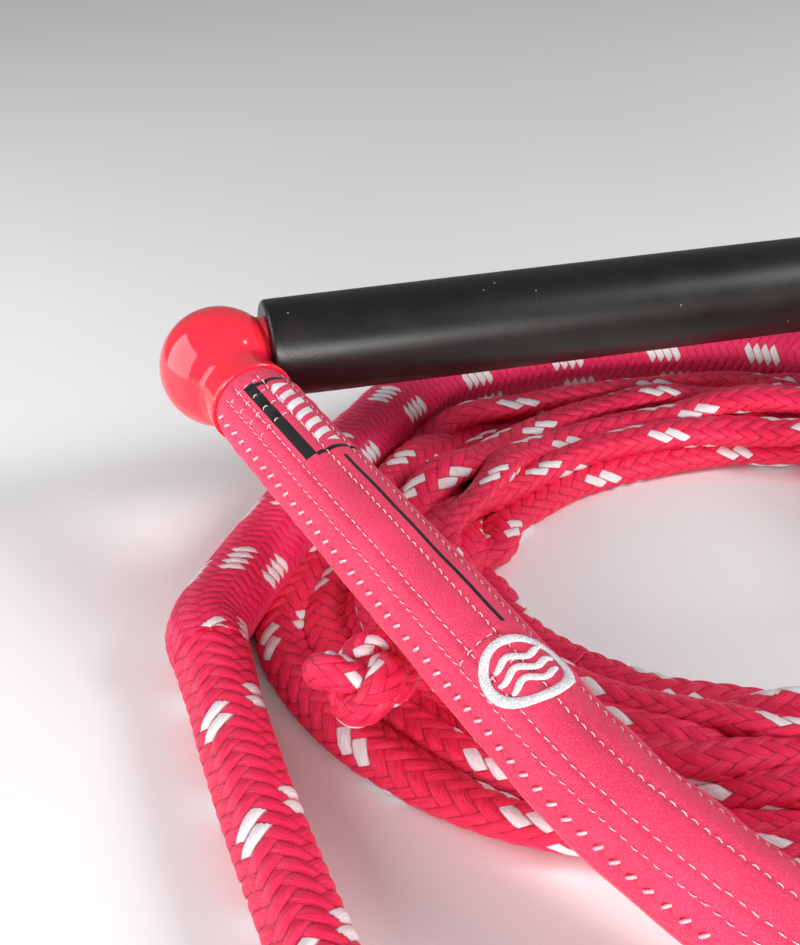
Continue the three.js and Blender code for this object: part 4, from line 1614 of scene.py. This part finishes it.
@dataclass
class Yoke:
    """The moulded Y where both legs and the tow rope meet."""

    legs: tuple[Leg, Leg]
    trunk: float = 14.0
    arm: float = 9.8

    def build(self) -> None:
        """Join a turned trunk and two swept arms into one soft-edged moulding."""
        start = Vector((0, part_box("yoke")[0][1], self.trunk * MM))
        length = 38.0
        body = [(0, 0.0), (10.4, 0.0), *arc((11.6, 1.2), 1.2, -90, -10, 5)]
        body += [(13.4, 9.0), (self.trunk, 13.0), (self.trunk, 28.0), (13.2, 32.5), (10.5, 36.6), (0, length)]
        pieces = [turned("yoke_body", [(r * MM, h * MM) for r, h in body], start, Vector((0, 1, 0)), 64)]
        for leg in self.legs:
            t = np.arange(COVER_END + 12.6 * MM, leg.s[-1] - 2 * MM, 1.2 * MM)
            a = np.arange(40) * 2 * np.pi / 40
            grown = self.arm * MM * (1 + 0.12 * smoothstep(t[0] + 0.01, t[0] + 0.03, t))
            ends = np.minimum(t - t[0], 1.5 * MM) / MM
            grown = grown - (1.5 - ends) ** 2 * 0.5 * MM
            across_leg = np.cos(a)[None, :, None] * leg.along(leg.up, t)[:, None]
            across_leg = across_leg + np.sin(a)[None, :, None] * leg.along(leg.inner, t)[:, None]
            pieces.append(skin(f"arm_{leg.name}", leg.along(leg.path, t)[:, None] + grown[:, None, None] * across_leg))
        deselect()
        for piece in pieces:
            piece.select_set(True)
        bpy.context.view_layer.objects.active = pieces[0]
        bpy.ops.object.join()
        yoke = bpy.context.object
        yoke.name = yoke.data.name = "yoke_moulding"
        remesh = yoke.modifiers.new("remesh", "REMESH")
        remesh.mode = "VOXEL"
        remesh.voxel_size = 0.9 * MM
        remesh.use_smooth_shade = True
        bpy.ops.object.modifier_apply(modifier="remesh")
        smooth = yoke.modifiers.new("smooth", "SMOOTH")
        smooth.iterations = 14
        smooth.factor = 0.5
        bpy.ops.object.modifier_apply(modifier="smooth")
        dress(yoke, "bridle", SoftRubber().material())
        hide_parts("yoke")


def finish_hidden_nodes() -> None:
    """Give the pieces that stay as the CAD made them their own finishes."""
    looks = {
        "bar_tube": WovenCore("anodised_tube", "#8e9296", "#c6c9cc", 0.34, 1.0, 300.0).material(),
        "bar_rope": WovenCore("core_rope_white", "#cfcac0", "#f4f1ea", 0.8).material(),
        "bridle_rope": WovenCore("core_rope_bridle", "#cfcac0", "#f4f1ea", 0.8).material(),
        "sleeve_float": WovenCore("float_foam_grey", "#bdb9b2", "#dedbd5", 0.9).material(),
        "sleeve_cuff": WovenCore("cuff_cloth_pink", "#c32450", "#e8507a", 0.7).material(),
    }
    for name, node in nodes_by_name().items():
        for start, material in looks.items():
            if name.startswith(start):
                node.data.materials.clear()
                node.data.materials.append(material)
                LOG.info("%s keeps its shape, finished as %s", name, material.name)


def nodes_by_name() -> dict[str, bpy.types.Object]:
    """The CAD nodes' objects by name."""
    return {name: bpy.data.objects[name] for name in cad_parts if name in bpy.data.objects}


# ---------------------------------------------------------------------------
# Studio
# ---------------------------------------------------------------------------


@dataclass
class Studio:
    """A pale table, a soft key light from the left and a low soft light in front."""

    ball: Vector
    lens: float = 64.76
    azimuth: float = 13.53
    elevation: float = -27.29
    roll_angle: float = -1.6
    stand: Vector = field(default_factory=lambda: Vector((-63.2, -515.4, 223.9)) * MM)

    def camera(self) -> None:
        """Set up the camera."""
        data = bpy.data.cameras.new("camera")
        data.lens = self.lens
        data.clip_start = 0.01
        camera = bpy.data.objects.new("camera", data)
        bpy.context.scene.collection.objects.link(camera)
        az, el, tilt = (math.radians(v) for v in (self.azimuth, self.elevation, self.roll_angle))
        ahead = Vector((math.sin(az) * math.cos(el), math.cos(az) * math.cos(el), math.sin(el)))
        right = ahead.cross(Vector((0, 0, 1))).normalized()
        up = right.cross(ahead)
        right, up = (right * math.cos(tilt) + up * math.sin(tilt), up * math.cos(tilt) - right * math.sin(tilt))
        turn = Matrix((right, up, -ahead)).transposed().to_4x4()
        camera.matrix_world = Matrix.Translation(self.ball + self.stand) @ turn
        bpy.context.scene.camera = camera

    def panel(self, name: str, place: Vector, size: tuple[float, float], power: float, look_at: Vector) -> None:
        """Add one soft rectangular light.

        Args:
            name: the light's name.
            place: where its middle is, in metres.
            size: its width and height.
            power: its power in watts.
            look_at: the point that it faces.
        """
        data = bpy.data.lights.new(name, "AREA")
        data.shape = "RECTANGLE"
        data.size, data.size_y = size
        data.energy = power
        light = bpy.data.objects.new(name, data)
        light.location = place
        light.rotation_euler = (look_at - place).to_track_quat("-Z", "Y").to_euler()
        bpy.context.scene.collection.objects.link(light)

    def build(self) -> None:
        """Make the table, the lights and the dim surroundings."""
        deselect()
        bpy.ops.mesh.primitive_plane_add(size=12, location=(0, 0, -0.0002))
        table = bpy.context.object
        table.name = "table"
        finish = Finish("table_white")
        tone = finish.noise(finish.place(), 3.0, 2.0)
        colour = finish.mix(tone, linear("#f4f4f4"), linear("#fbfbfb"))
        table.data.materials.append(finish.finish_with(Base_Color=colour, Roughness=0.6))

        ball = self.ball
        self.panel("key", ball + Vector((-0.66, 0.06, 0.16)), (0.8, 0.8), 6.0, ball)
        self.panel("front", ball + Vector((-0.15, -1.35, 0.15)), (0.8, 0.26), 19.0, ball + Vector((0.12, 0, 0)))
        self.panel("right", ball + Vector((1.1, -0.6, 0.8)), (0.5, 0.5), 13.0, ball + Vector((0.15, -0.1, 0)))
        world = bpy.data.worlds.new("studio")
        world.use_nodes = True
        background = world.node_tree.nodes["Background"]
        background.inputs[0].default_value = linear("#f2f4f8")
        background.inputs[1].default_value = 0.28
        bpy.context.scene.world = world
        bpy.context.scene.view_settings.view_transform = "Standard"


def main() -> None:
    """Build the handle's looks on its frame."""
    logging.basicConfig(level=logging.INFO, format="%(message)s")
    legs = (Leg("left", -1.0), Leg("right", 1.0))
    studio = Studio(legs[0].ball)
    studio.camera()
    TowRope(legs).build()
    cloth, thread = CoverCloth().material(), Thread().material()
    embroidery = Thread("embroidery_thread_white", "#ece8ea", "#a9a2a6").material()
    rubber = SoftRubber("collar_rubber").material()
    for leg in legs:
        Sleeve(leg, cloth, thread, embroidery, rubber).build()
    Bar(legs).build()
    Yoke(legs).build()
    finish_hidden_nodes()
    studio.build()


if __name__ == "__main__":
    main()
